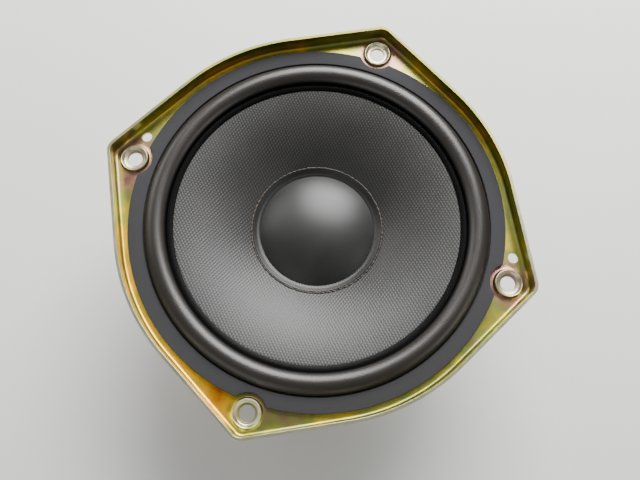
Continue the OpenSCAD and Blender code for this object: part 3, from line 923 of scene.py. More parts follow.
    def spread(self, inner_r: float, ring: list[Vector],
               holes: list[tuple[Vector, float]]) -> list[Vector]:
        """Spreads points over the flat flange, so that the film can change across it.

        Args:
            inner_r: Radius where the flange bends down.
            ring: The flange's outer loop.
            holes: Middle and radius of each hole.

        Returns:
            Flat points, clear of every edge.
        """
        pitch, clear = 1.3, 0.45
        count = int(2 * self.ear_r / pitch)
        made: list[Vector] = []
        for row in range(count + 1):
            for column in range(count + 1):
                shift = pitch / 2 if row % 2 else 0.0
                spot = Vector(((column - count / 2) * pitch + shift, (row - count / 2) * pitch))
                if spot.length < inner_r + clear or not self.inside(spot, ring):
                    continue
                if any((spot - c.to_2d()).length < r + clear for c, r in holes):
                    continue
                ways = (intersect_point_line(spot, a, b) for a, b in zip(ring, ring[1:] + ring[:1]))
                if min((spot - foot.to_2d()).length for foot, part in ways
                       if -0.1 < part < 1.1) > clear:
                    made.append(spot)
        return made

    @staticmethod
    def inside(spot: Vector, ring: list[Vector]) -> bool:
        """Tells whether a flat point lies inside a closed loop.

        Args:
            spot: The point.
            ring: The loop's points in order.

        Returns:
            Whether the point is inside.
        """
        within = False
        for a, b in zip(ring, ring[1:] + ring[:1]):
            if (a.y > spot.y) != (b.y > spot.y):
                if spot.x < (b.x - a.x) * (spot.y - a.y) / (b.y - a.y) + a.x:
                    within = not within
        return within

    def bent(self, corner: Pair, before: Vector, after: Vector, radius: float,
             steps: int = 7) -> list[tuple[Vector, Vector]]:
        """Rounds one bend of the turned sheet.

        Args:
            corner: Where the two straight runs would meet.
            before: Direction of the run that arrives.
            after: Direction of the run that leaves.
            radius: Bend radius of the front face.
            steps: Segments in the bend.

        Returns:
            Front and back points, as radius and height, through the bend.
        """
        turn = before.angle(after)
        reach = radius * math.tan(turn / 2)
        start = Vector(corner) - before * reach
        side = Vector((before.y, -before.x))
        if side.dot(after) < 0:
            side = -side
        centre = start + side * radius
        front_side = Vector((before.y, -before.x))
        made = []
        for k in range(steps + 1):
            a = turn * k / steps
            spot = centre + (-side * math.cos(a) + before * math.sin(a)) * radius
            out = (spot - centre).normalized()
            normal = out if out.dot(front_side) > 0 else -out
            made.append((spot, spot - normal * self.sheet))
        return made

    def rows_of(self, profile: list[tuple[Vector, Vector]]) -> list[list[tuple[Vector, Vector]]]:
        """Turns pairs of radius and height round the axis into rows of points."""
        return [[(polar(f.x, 360 * k / self.segments, f.y), polar(b.x, 360 * k / self.segments, b.y))
                 for k in range(self.segments)] for f, b in profile]

    def body(self) -> None:
        """Builds everything below the flange."""
        down, inwards = Vector((0, -1)), Vector((-1, 0))
        cup = (Vector(self.floor_edge) - Vector((self.cup_r, self.seat[1]))).normalized()
        flange_bend = self.bent((self.collar_r, self.flange_z), inwards, down, 1.3)
        collar_bend = self.bent(tuple(self.slope_end), down, -self.slope, 1.2)
        seat_bend = self.bent(self.seat, -self.slope, inwards, 1.0)
        cup_bend = self.bent((self.cup_r, self.seat[1]), inwards, cup, 1.3)
        floor_bend = self.bent(self.floor_edge, cup, inwards, 1.0)
        rim = Vector((self.floor_inner_r, self.floor_edge[1]))
        self.patch(self.rows_of(flange_bend + collar_bend))
        self.patch(self.rows_of(seat_bend + cup_bend + floor_bend
                                + [(rim, rim - Vector((0, self.sheet)))]))
        self.legs(collar_bend[-1][0], seat_bend[0][0])
        self.flange(self.lip(), flange_bend[0][0].x)

    def on_slope(self, angle: float, run: float) -> tuple[Vector, Vector]:
        """Gives the front and back point of the sloping wall, with the legs' pressed ribs.

        Args:
            angle: Degrees round the axis.
            run: Distance up the slope from the seat's bend.

        Returns:
            Front and back place.
        """
        spot = self.slope_start + self.slope * run
        length = (self.slope_end - self.slope_start).length
        side = abs((angle - 45) % 90)
        side = math.radians(min(side, 90 - side)) * spot.x
        past = max(0.22 * length - run, run - 0.72 * length, 0)
        away = math.hypot(side, past)
        sink = self.rib_h * math.cos(math.pi / 2 * away / self.rib_r) ** 2 if away < self.rib_r else 0
        normal = Vector((-self.slope.y, self.slope.x))
        front, back = spot - normal * sink, spot - normal * (sink + self.sheet)
        return polar(front.x, angle, front.y), polar(back.x, angle, back.y)

    def window(self, middle: float) -> list[Pair]:
        """Gives one window's edge as angle and run up the slope.

        Args:
            middle: Degrees round the axis of the window's middle.

        Returns:
            Angle and run of each point of the edge.
        """
        (low_w, low_z), (high_w, high_z) = self.window_low, self.window_high
        corners = [(-low_w, low_z), (low_w, low_z), (high_w, high_z), (-high_w, high_z)]
        made: list[Pair] = []
        edge = soften(corners, [self.window_round * 1.2] * 4, 8)
        for (x, z), (u, v) in zip(edge, edge[1:] + edge[:1]):
            parts = max(1, int(math.hypot(u - x, v - z) / 1.2))
            for k in range(parts):
                y, height = x + (u - x) * k / parts, z + (v - z) * k / parts
                run = (height - self.slope_start.y) / self.slope.y
                radius = self.slope_start.x + self.slope.x * run
                made.append((middle + math.degrees(math.asin(y / radius)), run))
        return made

    def legs(self, top: Vector, bottom: Vector) -> None:
        """Builds the sloping wall with its windows and ribs, a quarter at a time.

        Args:
            top: Radius and height where the wall meets the collar's bend.
            bottom: Radius and height where it meets the seat's bend.
        """
        low = (bottom - self.slope_start).dot(self.slope)
        high = (top - self.slope_start).dot(self.slope)
        scale = math.radians(1) * 48
        step = 360 / self.segments
        count = int(90 / step)
        for middle in (0, 90, 180, 270):
            hole = self.window(middle)
            spots: list[Pair] = [(middle - 45 + step * k, low) for k in range(count)]
            rises = 40
            spots += [(middle + 45, low + (high - low) * k / rises) for k in range(rises)]
            spots += [(middle + 45 - step * k, high) for k in range(count)]
            spots += [(middle - 45, high + (low - high) * k / rises) for k in range(rises)]
            rim_count = len(spots)
            edges = [(k, (k + 1) % rim_count) for k in range(rim_count)]
            edges += [(rim_count + k, rim_count + (k + 1) % len(hole)) for k in range(len(hole))]
            spots += hole
            ring = [Vector((a * scale, s)) for a, s in hole]
            for k in range(1, rises):
                run = low + (high - low) * k / rises
                radius = self.slope_start.x + self.slope.x * run
                for sign in (-1, 1):
                    for away in (0.6, 1.2, 1.8, 2.4, 3.0, 4.0, 5.5):
                        angle = middle + sign * (45 - math.degrees(away / radius))
                        if not self.inside(Vector((angle * scale, run)), ring):
                            spots.append((angle, run))
            flat = [Vector((a * scale, s)) for a, s in spots]
            made, _, faces, _, _, _ = delaunay_2d_cdt(flat, edges, [], 0, 1e-6)
            for triangle in faces:
                centre = sum((made[k] for k in triangle), Vector((0, 0))) / 3
                if self.inside(centre, ring):
                    continue
                numbers = []
                for k in triangle:
                    angle, run = round(made[k].x / scale, 3) % 360, round(made[k].y, 4)
                    numbers.append(self.add(*self.on_slope(angle, run)))
                if len(set(numbers)) == 3:
                    self.fronts.faces.append(tuple(numbers))

    def shell(self) -> MeshPlan:
        """Closes the sheet with its back and its cut edges.

        Returns:
            The points and faces of the whole sheet.
        """
        uses: dict[tuple[int, ...], int] = {}
        for face in self.fronts.faces:
            for a, b in zip(face, face[1:] + face[:1]):
                key = (min(a, b), max(a, b))
                uses[key] = uses.get(key, 0) + 1
        count = len(self.backs)
        plan = MeshPlan(list(self.fronts.points) + self.backs, list(self.fronts.faces))
        plan.faces += [tuple(k + count for k in reversed(face)) for face in self.fronts.faces]
        plan.faces += [(a, b, b + count, a + count) for (a, b), n in uses.items() if n == 1]
        LOG.info("basket sheet: %d cut edges, %d shared more than twice",
                 sum(1 for n in uses.values() if n == 1), sum(1 for n in uses.values() if n > 2))
        return plan

    def tab(self) -> MeshPlan:
        """Builds the flat tab that carries the terminal board.

        Returns:
            The tab's points and faces.
        """
        plan = MeshPlan()
        far = box_mm("terminal_board")[0].y
        near = -self.seat[0] + 0.4
        outline = soften([(-3.5, near), (-3.5, far), (3.5, far), (3.5, near)], [0, 1.2, 1.2, 0], 6)
        plan.raised(outline, self.seat[1] - self.sheet, self.seat[1] - 0.01)
        return plan

    @staticmethod
    def bevelled(piece: bpy.types.Object, width: float) -> None:
        """Breaks a punched piece's edges.

        Args:
            piece: The piece.
            width: Width of the broken edge in millimetres.
        """
        bevel = piece.modifiers.new("edge", "BEVEL")
        bevel.width, bevel.segments = width * MM, 2
        bevel.limit_method, bevel.angle_limit = "ANGLE", math.radians(50)

    @staticmethod
    def near_angle(spot: Vector, middle: float, reach: float) -> float:
        """Gives 1 at an angle round the axis, fading to 0 or less at a reach of degrees from it."""
        angle = math.degrees(math.atan2(spot.y, spot.x)) % 360
        return 1 - abs(angle - middle) / reach

    def to_screw(self, spot: Vector) -> float:
        """Gives the distance to the nearest screw hole's axis."""
        return min((spot - polar(self.screw_circle, ear, spot.z)).length for ear in EARS)

    def film(self, spot: Vector) -> float:
        """Gives the film's thickness, with painted reflection in it: gold on one side and an orange spot,
        each partly film and partly painted reflection, streaks on the lip wall that are partly film and
        partly painted reflection, and pink near the ears.

        Args:
            spot: A point of the sheet.

        Returns:
            The thickness that the finish adds to its drift.
        """
        value = 0.09
        if spot.z <= self.flange_z - 1.5 or radius_of(spot) <= self.collar_r - 0.2:
            return value
        climb = (spot.z - self.flange_z) / 2.2
        plate = 1 - smooth(climb * 2)
        # Gold on one side and an orange spot: partly the film, partly painted reflection on the plate
        value += 0.22 * plate * smooth(0.4 + self.near_angle(spot, self.gold_film_and_reflection_side, 36))
        value += 0.3 * plate * smooth(self.near_angle(spot, self.orange_film_and_reflection_spot, 9))
        # Streaks on the lip wall: partly the film, partly painted reflection
        if climb > 0.05:
            side = max(smooth(self.near_angle(spot, *streak)) for streak in self.lip_film_and_reflection_streaks)
            value += 0.32 * side * smooth(1 - abs(climb - 0.5))
        pink = smooth(1.5 - self.to_screw(spot) / 9)
        return value - 0.16 * (0.4 + 0.6 * plate) * pink

    def facing(self, spot: Vector) -> float:
        """Gives 1 on the side where the lip's rim carries a painted highlight, and 0 opposite."""
        angle = math.atan2(spot.y, spot.x)
        return 0.5 + 0.5 * math.cos(angle - math.radians(self.rim_highlight_side))

    def bare(self, spot: Vector) -> float:
        """Gives the pale steel colour: the rim's cut edge with a painted highlight on one side, a painted
        reflection on the fold and lip wall, and a painted highlight on the rings round the screws.

        Args:
            spot: A point of the sheet.

        Returns:
            0 for the plated colour and 1 for the pale steel colour.
        """
        facing = self.facing(spot)
        # Rim's cut edge: slight wear all round, and a painted highlight on one side
        wear_and_highlight = (0.02 + 0.7 * facing) * smooth((spot.z - self.lip_z + 0.35) / 0.3)
        # Painted reflection: the fold and lip wall on one side in the pale steel colour
        if spot.z > self.flange_z - 0.9 and radius_of(spot) > 60:
            side = smooth(self.near_angle(spot, self.fold_reflection_side, 75) / 0.6)
            wear_and_highlight = max(wear_and_highlight, 0.65 * side * smooth((spot.z - self.flange_z - 0.2) / 1.2))
        # Painted highlight: the rings round the screws in the pale steel colour
        if spot.z > self.flange_z - 0.3:
            wear_and_highlight = max(wear_and_highlight, 0.75 * smooth(1 - abs(self.to_screw(spot) - 3.7) / 1.35))
        return wear_and_highlight

    def dull(self, spot: Vector) -> float:
        """Gives the painted shade on the lip's rim, on the side away from its painted highlight."""
        shaded = 1 - smooth(self.facing(spot) * 1.6)
        return 0.8 * shaded * smooth((spot.z - self.lip_z + 1.2) / 1.0)

    def tint(self, piece: bpy.types.Object) -> None:
        """Writes what the plating's finish reads.

        Args:
            piece: The sheet or the tab.
        """
        mark(piece, "film", self.film)
        mark(piece, "bare", self.bare)
        mark(piece, "dull", self.dull)

    def build(self) -> None:
        """Makes the basket and its tab."""
        self.body()
        sheet = self.shell().make("basket_sheet", 40)
        self.tint(sheet)
        self.bevelled(sheet, 0.22)
        hand_over(sheet, PASSIVATE, Body.FRAME, ["basket"])
        tab = self.tab().make("basket_terminal_tab")
        self.tint(tab)
        self.bevelled(tab, 0.14)
        hand_over(tab, PASSIVATE, Body.FRAME, [])


# ------------------------------------------------------------------ diaphragm and gasket


@dataclass
class Gasket:
    """The die-cut front gasket, scalloped round the screw holes."""

    inner_r: float = 57.3
    outer_r: float = 62.2
    rebate_r: float = 59.3
    rebate_h: float = 0.5
    scallop_r: float = 6.2
    screw_circle: float = 65.5

    def edge_at(self, away: float) -> float:
        """Gives the outer radius at an angle away from the nearest ear.

        Args:
            away: Degrees from the ear's middle.

        Returns:
            The radius of the gasket's edge.
        """
        side = self.screw_circle * math.sin(math.radians(away))
        if abs(side) >= self.scallop_r:
            return self.outer_r
        cut = self.screw_circle * math.cos(math.radians(away)) - math.sqrt(
            self.scallop_r ** 2 - side ** 2)
        return min(self.outer_r, cut)

    def build(self) -> None:
        """Makes the gasket."""
        low, high = box_mm("front_gasket")
        angles: list[float] = []
        fine = [0.3 * k for k in range(20)]
        for ear in EARS:
            angles += [ear - a for a in reversed(fine[1:])] + [ear + a for a in fine]
            angles += [ear + 6 + 1.5 * k for k in range(52)]
        plan = MeshPlan()
        rows = []
        for angle in angles:
            away = (angle - 45 + 45) % 90 - 45
            edge = self.edge_at(away)
            rebate = min(self.rebate_r, edge - 0.15)
            section = soften([(self.inner_r, low.z + self.rebate_h), (self.inner_r, high.z),
                              (edge, high.z), (edge, low.z), (rebate, low.z),
                              (rebate, low.z + self.rebate_h)], [0, 0.25, 0.3, 0, 0, 0], 3)
            rows.append([polar(r, angle, z) for r, z in section])
        plan.skin(rows + rows[:1])
        hand_over(plan.make("front_gasket_board"), BOARD, Body.FRAME, ["front_gasket"])


@dataclass
class Diaphragm:
    """Surround, cone, dust cap and the adhesive between them."""

    neck_r: float = 13.15
    rim_r: float = 47.65
    depth: float = 18.3
    curve_r: float = 68.0
    wall: float = 0.5
    cap_r: float = 20.5
    cap_h: float = 6.5
    cap_flange: float = 1.8
    bead: float = 0.7
    glue: float = 0.1
    roll_centre: float = 53.3
    roll_r: float = 3.75
    land_r: float = 59.2
    segments: int = 256

    def __post_init__(self) -> None:
        """Finds the centre of the cone's curve."""
        self.top = box_mm("cone")[1].z
        chord = Vector((self.rim_r - self.neck_r, self.depth))
        start = Vector((self.neck_r, self.top - self.depth))
        side = Vector((chord.y, -chord.x)).normalized()
        self.centre = start + chord / 2 + side * math.sqrt(self.curve_r ** 2
                                                           - (chord.length / 2) ** 2)

    def cone_z(self, radius: float, above: float = 0.0) -> float:
        """Gives the height of the cone's front, or of a face above it."""
        return self.centre.y + math.sqrt((self.curve_r + above) ** 2
                                         - (radius - self.centre.x) ** 2)

    def cone(self) -> None:
        """Makes the cone with its flat rim."""
        steps = 46
        front = [(self.neck_r + (self.rim_r - self.neck_r) * k / steps,
                  self.cone_z(self.neck_r + (self.rim_r - self.neck_r) * k / steps))
                 for k in range(steps + 1)]
        rim = box_mm("cone")[1].x
        front += [(rim, self.top)]
        back = [(rim, self.top - self.wall)]
        back += [(r, max(self.cone_z(r, -self.wall), front[0][1] - self.wall))
                 for r, _ in reversed(front[:-1])]
        plan = MeshPlan()
        plan.turned(front + back, self.segments)
        hand_over(plan.make("cone_cloth_wall", 60), CONE_CLOTH, Body.DIAPHRAGM, ["cone"])

    def cap(self) -> None:
        """Makes the dust cap: a dome with a flange that lies on the cone."""
        sphere = (self.cap_r ** 2 + self.cap_h ** 2) / (2 * self.cap_h)
        foot = self.cone_z(self.cap_r) + self.glue
        middle = foot + self.cap_h - sphere
        rise = math.asin(self.cap_r / sphere)
        outer = [(sphere * math.sin(rise * k / 30), middle + sphere * math.cos(rise * k / 30))
                 for k in range(30)]
        root = self.cap_r - 0.15
        edge = self.cap_r + self.cap_flange
        for k in range(7):
            radius = root + (edge - 0.06 - root) * k / 6
            lift = 0.28 * (1 - k / 2) ** 2 if k < 2 else 0.0
            outer.append((radius, self.cone_z(radius, self.glue + self.wall) + lift))
        under = [(edge, self.cone_z(edge, self.glue + 0.4)), (edge, self.cone_z(edge, self.glue)),
                 (self.cap_r, self.cone_z(self.cap_r, self.glue))]
        inner = sphere - self.wall
        under += [(inner * math.sin(rise * k / 30), middle + inner * math.cos(rise * k / 30))
                  for k in range(29, -1, -1)]
        plan = MeshPlan()
        plan.turned(outer + under, self.segments, closed=False)
        piece = plan.make("dust_cap_dome", 60)
        # Adhesive has soaked the flange
        mark(piece, "glued", lambda spot: 0.75 * smooth((radius_of(spot) - self.cap_r + 0.1) / 0.5))
        hand_over(piece, CAP_CLOTH, Body.DIAPHRAGM, ["dust_cap"])

    def cap_bead(self) -> None:
        """Makes the uneven adhesive bead round the dust cap's flange."""
        chance = random.Random(11)
        waves = [(chance.randint(9, 120), chance.uniform(0, 6.28), chance.uniform(0.2, 1))
                 for _ in range(20)]
        total = sum(w for _, _, w in waves)
        inner = self.cap_r + self.cap_flange + 0.02
        rows = []
        for k in range(900):
            turn = math.radians(k * 0.4)
            swell = sum(w * math.sin(n * turn + s) for n, s, w in waves) / total
            reach = self.bead * (0.85 + 0.4 * swell)
            height = 0.38 + 0.12 * swell
            section = [(inner, self.cone_z(inner, 0.02)), (inner, self.cone_z(inner, height)),
                       (inner + reach * 0.4, self.cone_z(inner + reach * 0.4, height * 0.95)),
                       (inner + reach * 0.8, self.cone_z(inner + reach * 0.8, height * 0.6)),
                       (inner + reach, self.cone_z(inner + reach, 0.02))]
            rows.append([polar(r, k * 0.4, z) for r, z in section])
        plan = MeshPlan()
        plan.skin(rows + rows[:1])
        hand_over(plan.make("cap_adhesive_bead", 70), GLUE, Body.DIAPHRAGM, ["cap_adhesive"])

    def share(self, spot: Vector) -> float:
        """Gives the cone's share of the surround's motion."""
        outer, inner = self.roll_centre + self.roll_r, self.roll_centre - self.roll_r
        return smooth((outer - radius_of(spot)) / (outer - inner))

    def surround(self) -> None:
        """Makes the rubber surround: a half roll between two flat lands."""
        base, wall = self.top, self.wall
        top: list[Pair] = [(self.rim_r, base), (self.rim_r, base + wall - 0.1),
                           (self.rim_r + 0.1, base + wall)]
        thin = self.roll_r - wall
        for k in range(37):
            a = math.pi * (1 - k / 36)
            height = self.roll_r * math.sin(a)
            lift = wall * max(0.0, 1 - height / 0.9) ** 2
            top.append((self.roll_centre + self.roll_r * math.cos(a), base + max(height, 0) + lift))
        top += [(self.land_r, base + wall), (self.land_r, base)]
        under = [(self.roll_centre + thin * math.cos(math.pi * k / 30),
                  base + thin * math.sin(math.pi * k / 30)) for k in range(31)]
        plan = MeshPlan()
        plan.turned(top + under, self.segments)
        piece = plan.make("surround_half_roll", 60)
        foot = self.roll_centre - self.roll_r
        # Black on the adhesive-covered land, and painted shade up to a millimetre and more past the roll's
        # inner foot, in the crease between roll and cone
        mark(piece, "glued", lambda spot: smooth((foot + 1.0 - radius_of(spot)) / 0.8))
        bend_between(piece, self.share)
        hand_over(piece, RUBBER, None, ["surround"])

    def build(self) -> None:
        """Makes the four pieces."""
        self.cone()
        self.cap()
        self.cap_bead()
        self.surround()


# ------------------------------------------------------------------ suspension and coil


@dataclass
class CoilGroup:
    """Former, paper collar, winding, lead-outs, spider and the adhesive at the neck."""

    former_r: Pair = (12.6, 12.8)
    paper_r: float = 13.05
    winding_r: float = 13.5
    wire_r: float = 0.165
    lead_angle: float = 26.0
    spider_z: float = 30.2
    spider_t: float = 0.4
    spider_waves: int = 5
    wave_start: float = 14.55
    wave_end: float = 33.9
    wave_h: float = 1.1

    def ring(self, name: str, node: str, radii: Pair, finish: Finish) -> None:
        """Makes one thin turned ring of the CAD node's height.

        Args:
            name: The piece's name.
            node: The CAD node it stands for.
            radii: Inner and outer radius.
            finish: Its finish.
        """
        low, high = box_mm(node)
        plan = MeshPlan()
        inner, outer = radii
        bevel = min(0.06, (outer - inner) / 3)
        plan.turned(soften([(inner, low.z), (outer, low.z), (outer, high.z), (inner, high.z)],
                           [bevel] * 4, 2), 128)
        hand_over(plan.make(name), finish, Body.DIAPHRAGM, [node])

    def winding(self) -> None:
        """Makes the winding, one turn of wire above the other."""
        low, high = box_mm("voice_coil_winding")
        tree, given = new_tree("wire_turns", {
            "Turns": "NodeSocketInt", "Radius": "NodeSocketFloat", "Pitch": "NodeSocketVector",
            "First": "NodeSocketVector", "Wire": "NodeSocketFloat",
            "Finish": "NodeSocketMaterial"})
        loop = add_node(tree, "GeometryNodeCurvePrimitiveCircle",
                        inputs={"Resolution": 96, "Radius": given.outputs["Radius"]})
        wire = add_node(tree, "GeometryNodeCurvePrimitiveCircle",
                        inputs={"Resolution": 8, "Radius": given.outputs["Wire"]})
        turn = add_node(tree, "GeometryNodeCurveToMesh",
                        inputs={"Curve": loop.outputs[0], "Profile Curve": wire.outputs[0]})
        line = add_node(tree, "GeometryNodeMeshLine", inputs={
            "Count": given.outputs["Turns"], "Start Location": given.outputs["First"],
            "Offset": given.outputs["Pitch"]})
        turns = add_node(tree, "GeometryNodeInstanceOnPoints",
                         inputs={"Points": line.outputs[0], "Instance": turn.outputs[0]})
        end_tree(tree, turns.outputs[0], given.outputs["Finish"])
        count = int((high.z - low.z) / (2 * self.wire_r))
        pitch = (high.z - low.z) / count
        piece = bpy.data.objects.new("winding_turns", bpy.data.meshes.new("winding_turns"))
        bpy.context.scene.collection.objects.link(piece)
        grow(tree, piece, {
            "Turns": count, "Radius": (self.winding_r - self.wire_r) * MM,
            "Pitch": (0.0, 0.0, pitch * MM), "First": (0.0, 0.0, (low.z + pitch / 2) * MM),
            "Wire": self.wire_r * MM, "Finish": COPPER.material()})
        piece.data.shade_smooth()
        hand_over(piece, COPPER, Body.DIAPHRAGM, ["voice_coil_winding"])
        core = MeshPlan()
        core.turned([(self.former_r[1] + 0.02, low.z + 0.1), (self.winding_r - 0.3, low.z + 0.1),
                     (self.winding_r - 0.3, high.z - 0.1), (self.former_r[1] + 0.02, high.z - 0.1)],
                    96)
        hand_over(core.make("winding_inner_layer"), COPPER, Body.DIAPHRAGM, [])

    def lead_outs(self) -> None:
        """Makes the two wires that run up from the winding, and their solder dabs."""
        low, high = box_mm("coil_lead_outs")
        wires, dabs = MeshPlan(), MeshPlan()
        solder = box_mm("lead_solder")
        for number, angle in enumerate((-90 - self.lead_angle, -90 + self.lead_angle)):
            path = [polar(12.98 + 0.1 * (k / 8) ** 2, angle + 1.5 * math.sin(k / 8 * 3),
                          low.z + (high.z - low.z) * k / 8) for k in range(9)]
            wires.swept(path, 0.11, 6)
            dabs.dab(polar(13.55, angle, (solder[0].z + solder[1].z) / 2), Vector((0.8, 0.8, 0.85)),
                     number + 3)
        hand_over(wires.make("coil_lead_out_wires"), COPPER, Body.DIAPHRAGM, ["coil_lead_outs"])
        hand_over(dabs.make("collar_solder_dabs", 60), SOLDER, Body.DIAPHRAGM, ["lead_solder"])

    def neck(self) -> None:
        """Makes the fillet of adhesive at the cone's neck."""
        low, high = box_mm("neck_adhesive")
        inner = self.paper_r + 0.02
        plan = MeshPlan()
        plan.turned([(inner, low.z), (inner, high.z), (inner + 0.3, low.z + 0.4 * (high.z - low.z)),
                     (high.x, low.z)], 160)
        hand_over(plan.make("neck_adhesive_fillet", 70), GLUE, Body.DIAPHRAGM, ["neck_adhesive"])

    def spider(self) -> None:
        """Makes the corrugated spider."""
        high = box_mm("spider")[1]
        middle, half = self.spider_z, self.spider_t / 2
        span = self.wave_end - self.wave_start
        line: list[Pair] = [(13.15, high.z), (13.2, middle + 0.5), (13.55, middle + 0.05)]
        count = self.spider_waves * 16
        for k in range(count + 1):
            part = k / count
            fade = smooth(part * 14) * smooth((1 - part) * 14)
            line.append((self.wave_start + span * part,
                         middle + (self.wave_h - half) * fade
                         * math.sin(2 * math.pi * self.spider_waves * part)))
        line.append((high.x - 0.1, middle))
        above = [(r, z + half) if k > 1 else (r + 0.35, z) for k, (r, z) in enumerate(line)]
        below = [(r, z - half) if k > 1 else (r, z) for k, (r, z) in enumerate(line)]
        plan = MeshPlan()
        plan.turned(above + below[::-1], 200)
        piece = plan.make("spider_corrugated", 60)
        bend_between(piece, lambda spot: smooth(
            (self.wave_end - radius_of(spot)) / (self.wave_end - self.wave_start)))
        hand_over(piece, SPIDER_CLOTH, None, ["spider"])

    def build(self) -> None:
        """Makes every piece of the group."""
        self.ring("former_film_tube", "voice_coil_former", self.former_r, FILM)
        self.ring("former_paper_wrap", "former_collar", (self.former_r[1] + 0.01, self.paper_r),
                  PAPER)
        self.winding()
        self.lead_outs()
        self.neck()
        self.spider()


# ------------------------------------------------------------------ motor


@dataclass
class Motor:
    """Back plate, magnet, top plate, pole and the rivets that hold the basket."""

    magnet_r: Pair = (16.0, 35.0)
    plate_r: float = 33.0
    gap_r: float = 13.95
    pole_r: float = 12.2
    spigot_r: float = 9.0
    rivet_circle: float = 26.0
    rivets: int = 4
    segments: int = 192

    def plate(self, name: str, node: str, inner: float, finish: Finish, outer: float,
              edge: float) -> None:
        """Makes one ring with broken edges.

        Args:
            name: The piece's name.
            node: The CAD node it stands for.
            inner: Inner radius.
            finish: Its finish.
            outer: Outer radius.
            edge: Rounding of the outer edges; the inner ones take half of it.
        """
        low, high = box_mm(node)
        plan = MeshPlan()
        plan.turned(soften([(inner, low.z), (outer, low.z), (outer, high.z), (inner, high.z)],
                           [edge / 2, edge, edge, edge / 2], 4), self.segments)
        hand_over(plan.make(name, 50), finish, Body.FRAME, [node])

    def pole(self) -> None:
        """Makes the pole, with its spigot staked in the back plate."""
        low, high = box_mm("pole_piece")
        shoulder = box_mm("back_plate")[1].z
        dish = low.z + 0.25
        plan = MeshPlan()
        plan.turned([(0.0, dish), (self.spigot_r - 2.2, dish), (self.spigot_r - 1.8, low.z + 0.02),
                     (self.spigot_r - 0.25, low.z), (self.spigot_r, low.z + 0.2),
                     (self.spigot_r, shoulder), (self.pole_r, shoulder),
                     (self.pole_r, high.z - 0.5), (self.pole_r - 0.15, high.z - 0.15),
                     (self.pole_r - 0.5, high.z), (0.0, high.z)], self.segments, closed=False)
        hand_over(plan.make("pole_staked", 40), ZINC, Body.FRAME, ["pole_piece"])

    def basket_rivets(self) -> None:
        """Makes the ring of rivets from one rivet."""
        low, high = box_mm("basket_rivets")
        seat = high.z - 1.3
        tree, given = new_tree("rivet_circle", {
            "Count": "NodeSocketInt", "Radius": "NodeSocketFloat",
            "Finish": "NodeSocketMaterial"})
        circle = add_node(tree, "GeometryNodeMeshCircle", inputs={
            "Vertices": given.outputs["Count"], "Radius": given.outputs["Radius"]})
        placed = add_node(tree, "GeometryNodeInstanceOnPoints", inputs={
            "Points": circle.outputs[0], "Instance": given.outputs["Geometry"]})
        end_tree(tree, placed.outputs[0], given.outputs["Finish"])
        plan = MeshPlan()
        plan.turned([(0.0, low.z), (1.98, low.z), (1.98, seat), (3.2, seat), (3.3, seat + 0.2),
                     (3.05, seat + 0.75), (2.4, seat + 1.15), (1.4, seat + 1.3),
                     (1.1, seat + 1.12), (0.0, seat + 1.08)], 40, closed=False)
        piece = plan.make("basket_rivet_ring", 45)
        grow(tree, piece, {"Count": self.rivets, "Radius": self.rivet_circle * MM,
                           "Finish": RIVET.material()})
        hand_over(piece, RIVET, Body.FRAME, ["basket_rivets"])

    def build(self) -> None:
        """Makes the motor."""
        self.plate("back_plate_disc", "back_plate", self.spigot_r + 0.02, ZINC, self.plate_r, 0.6)
        self.plate("magnet_ring", "magnet", self.magnet_r[0], FERRITE, self.magnet_r[1], 0.9)
        self.plate("top_plate_disc", "top_plate", self.gap_r, ZINC, self.plate_r, 0.5)
        self.pole()
        self.basket_rivets()


# ------------------------------------------------------------------ terminals and leads


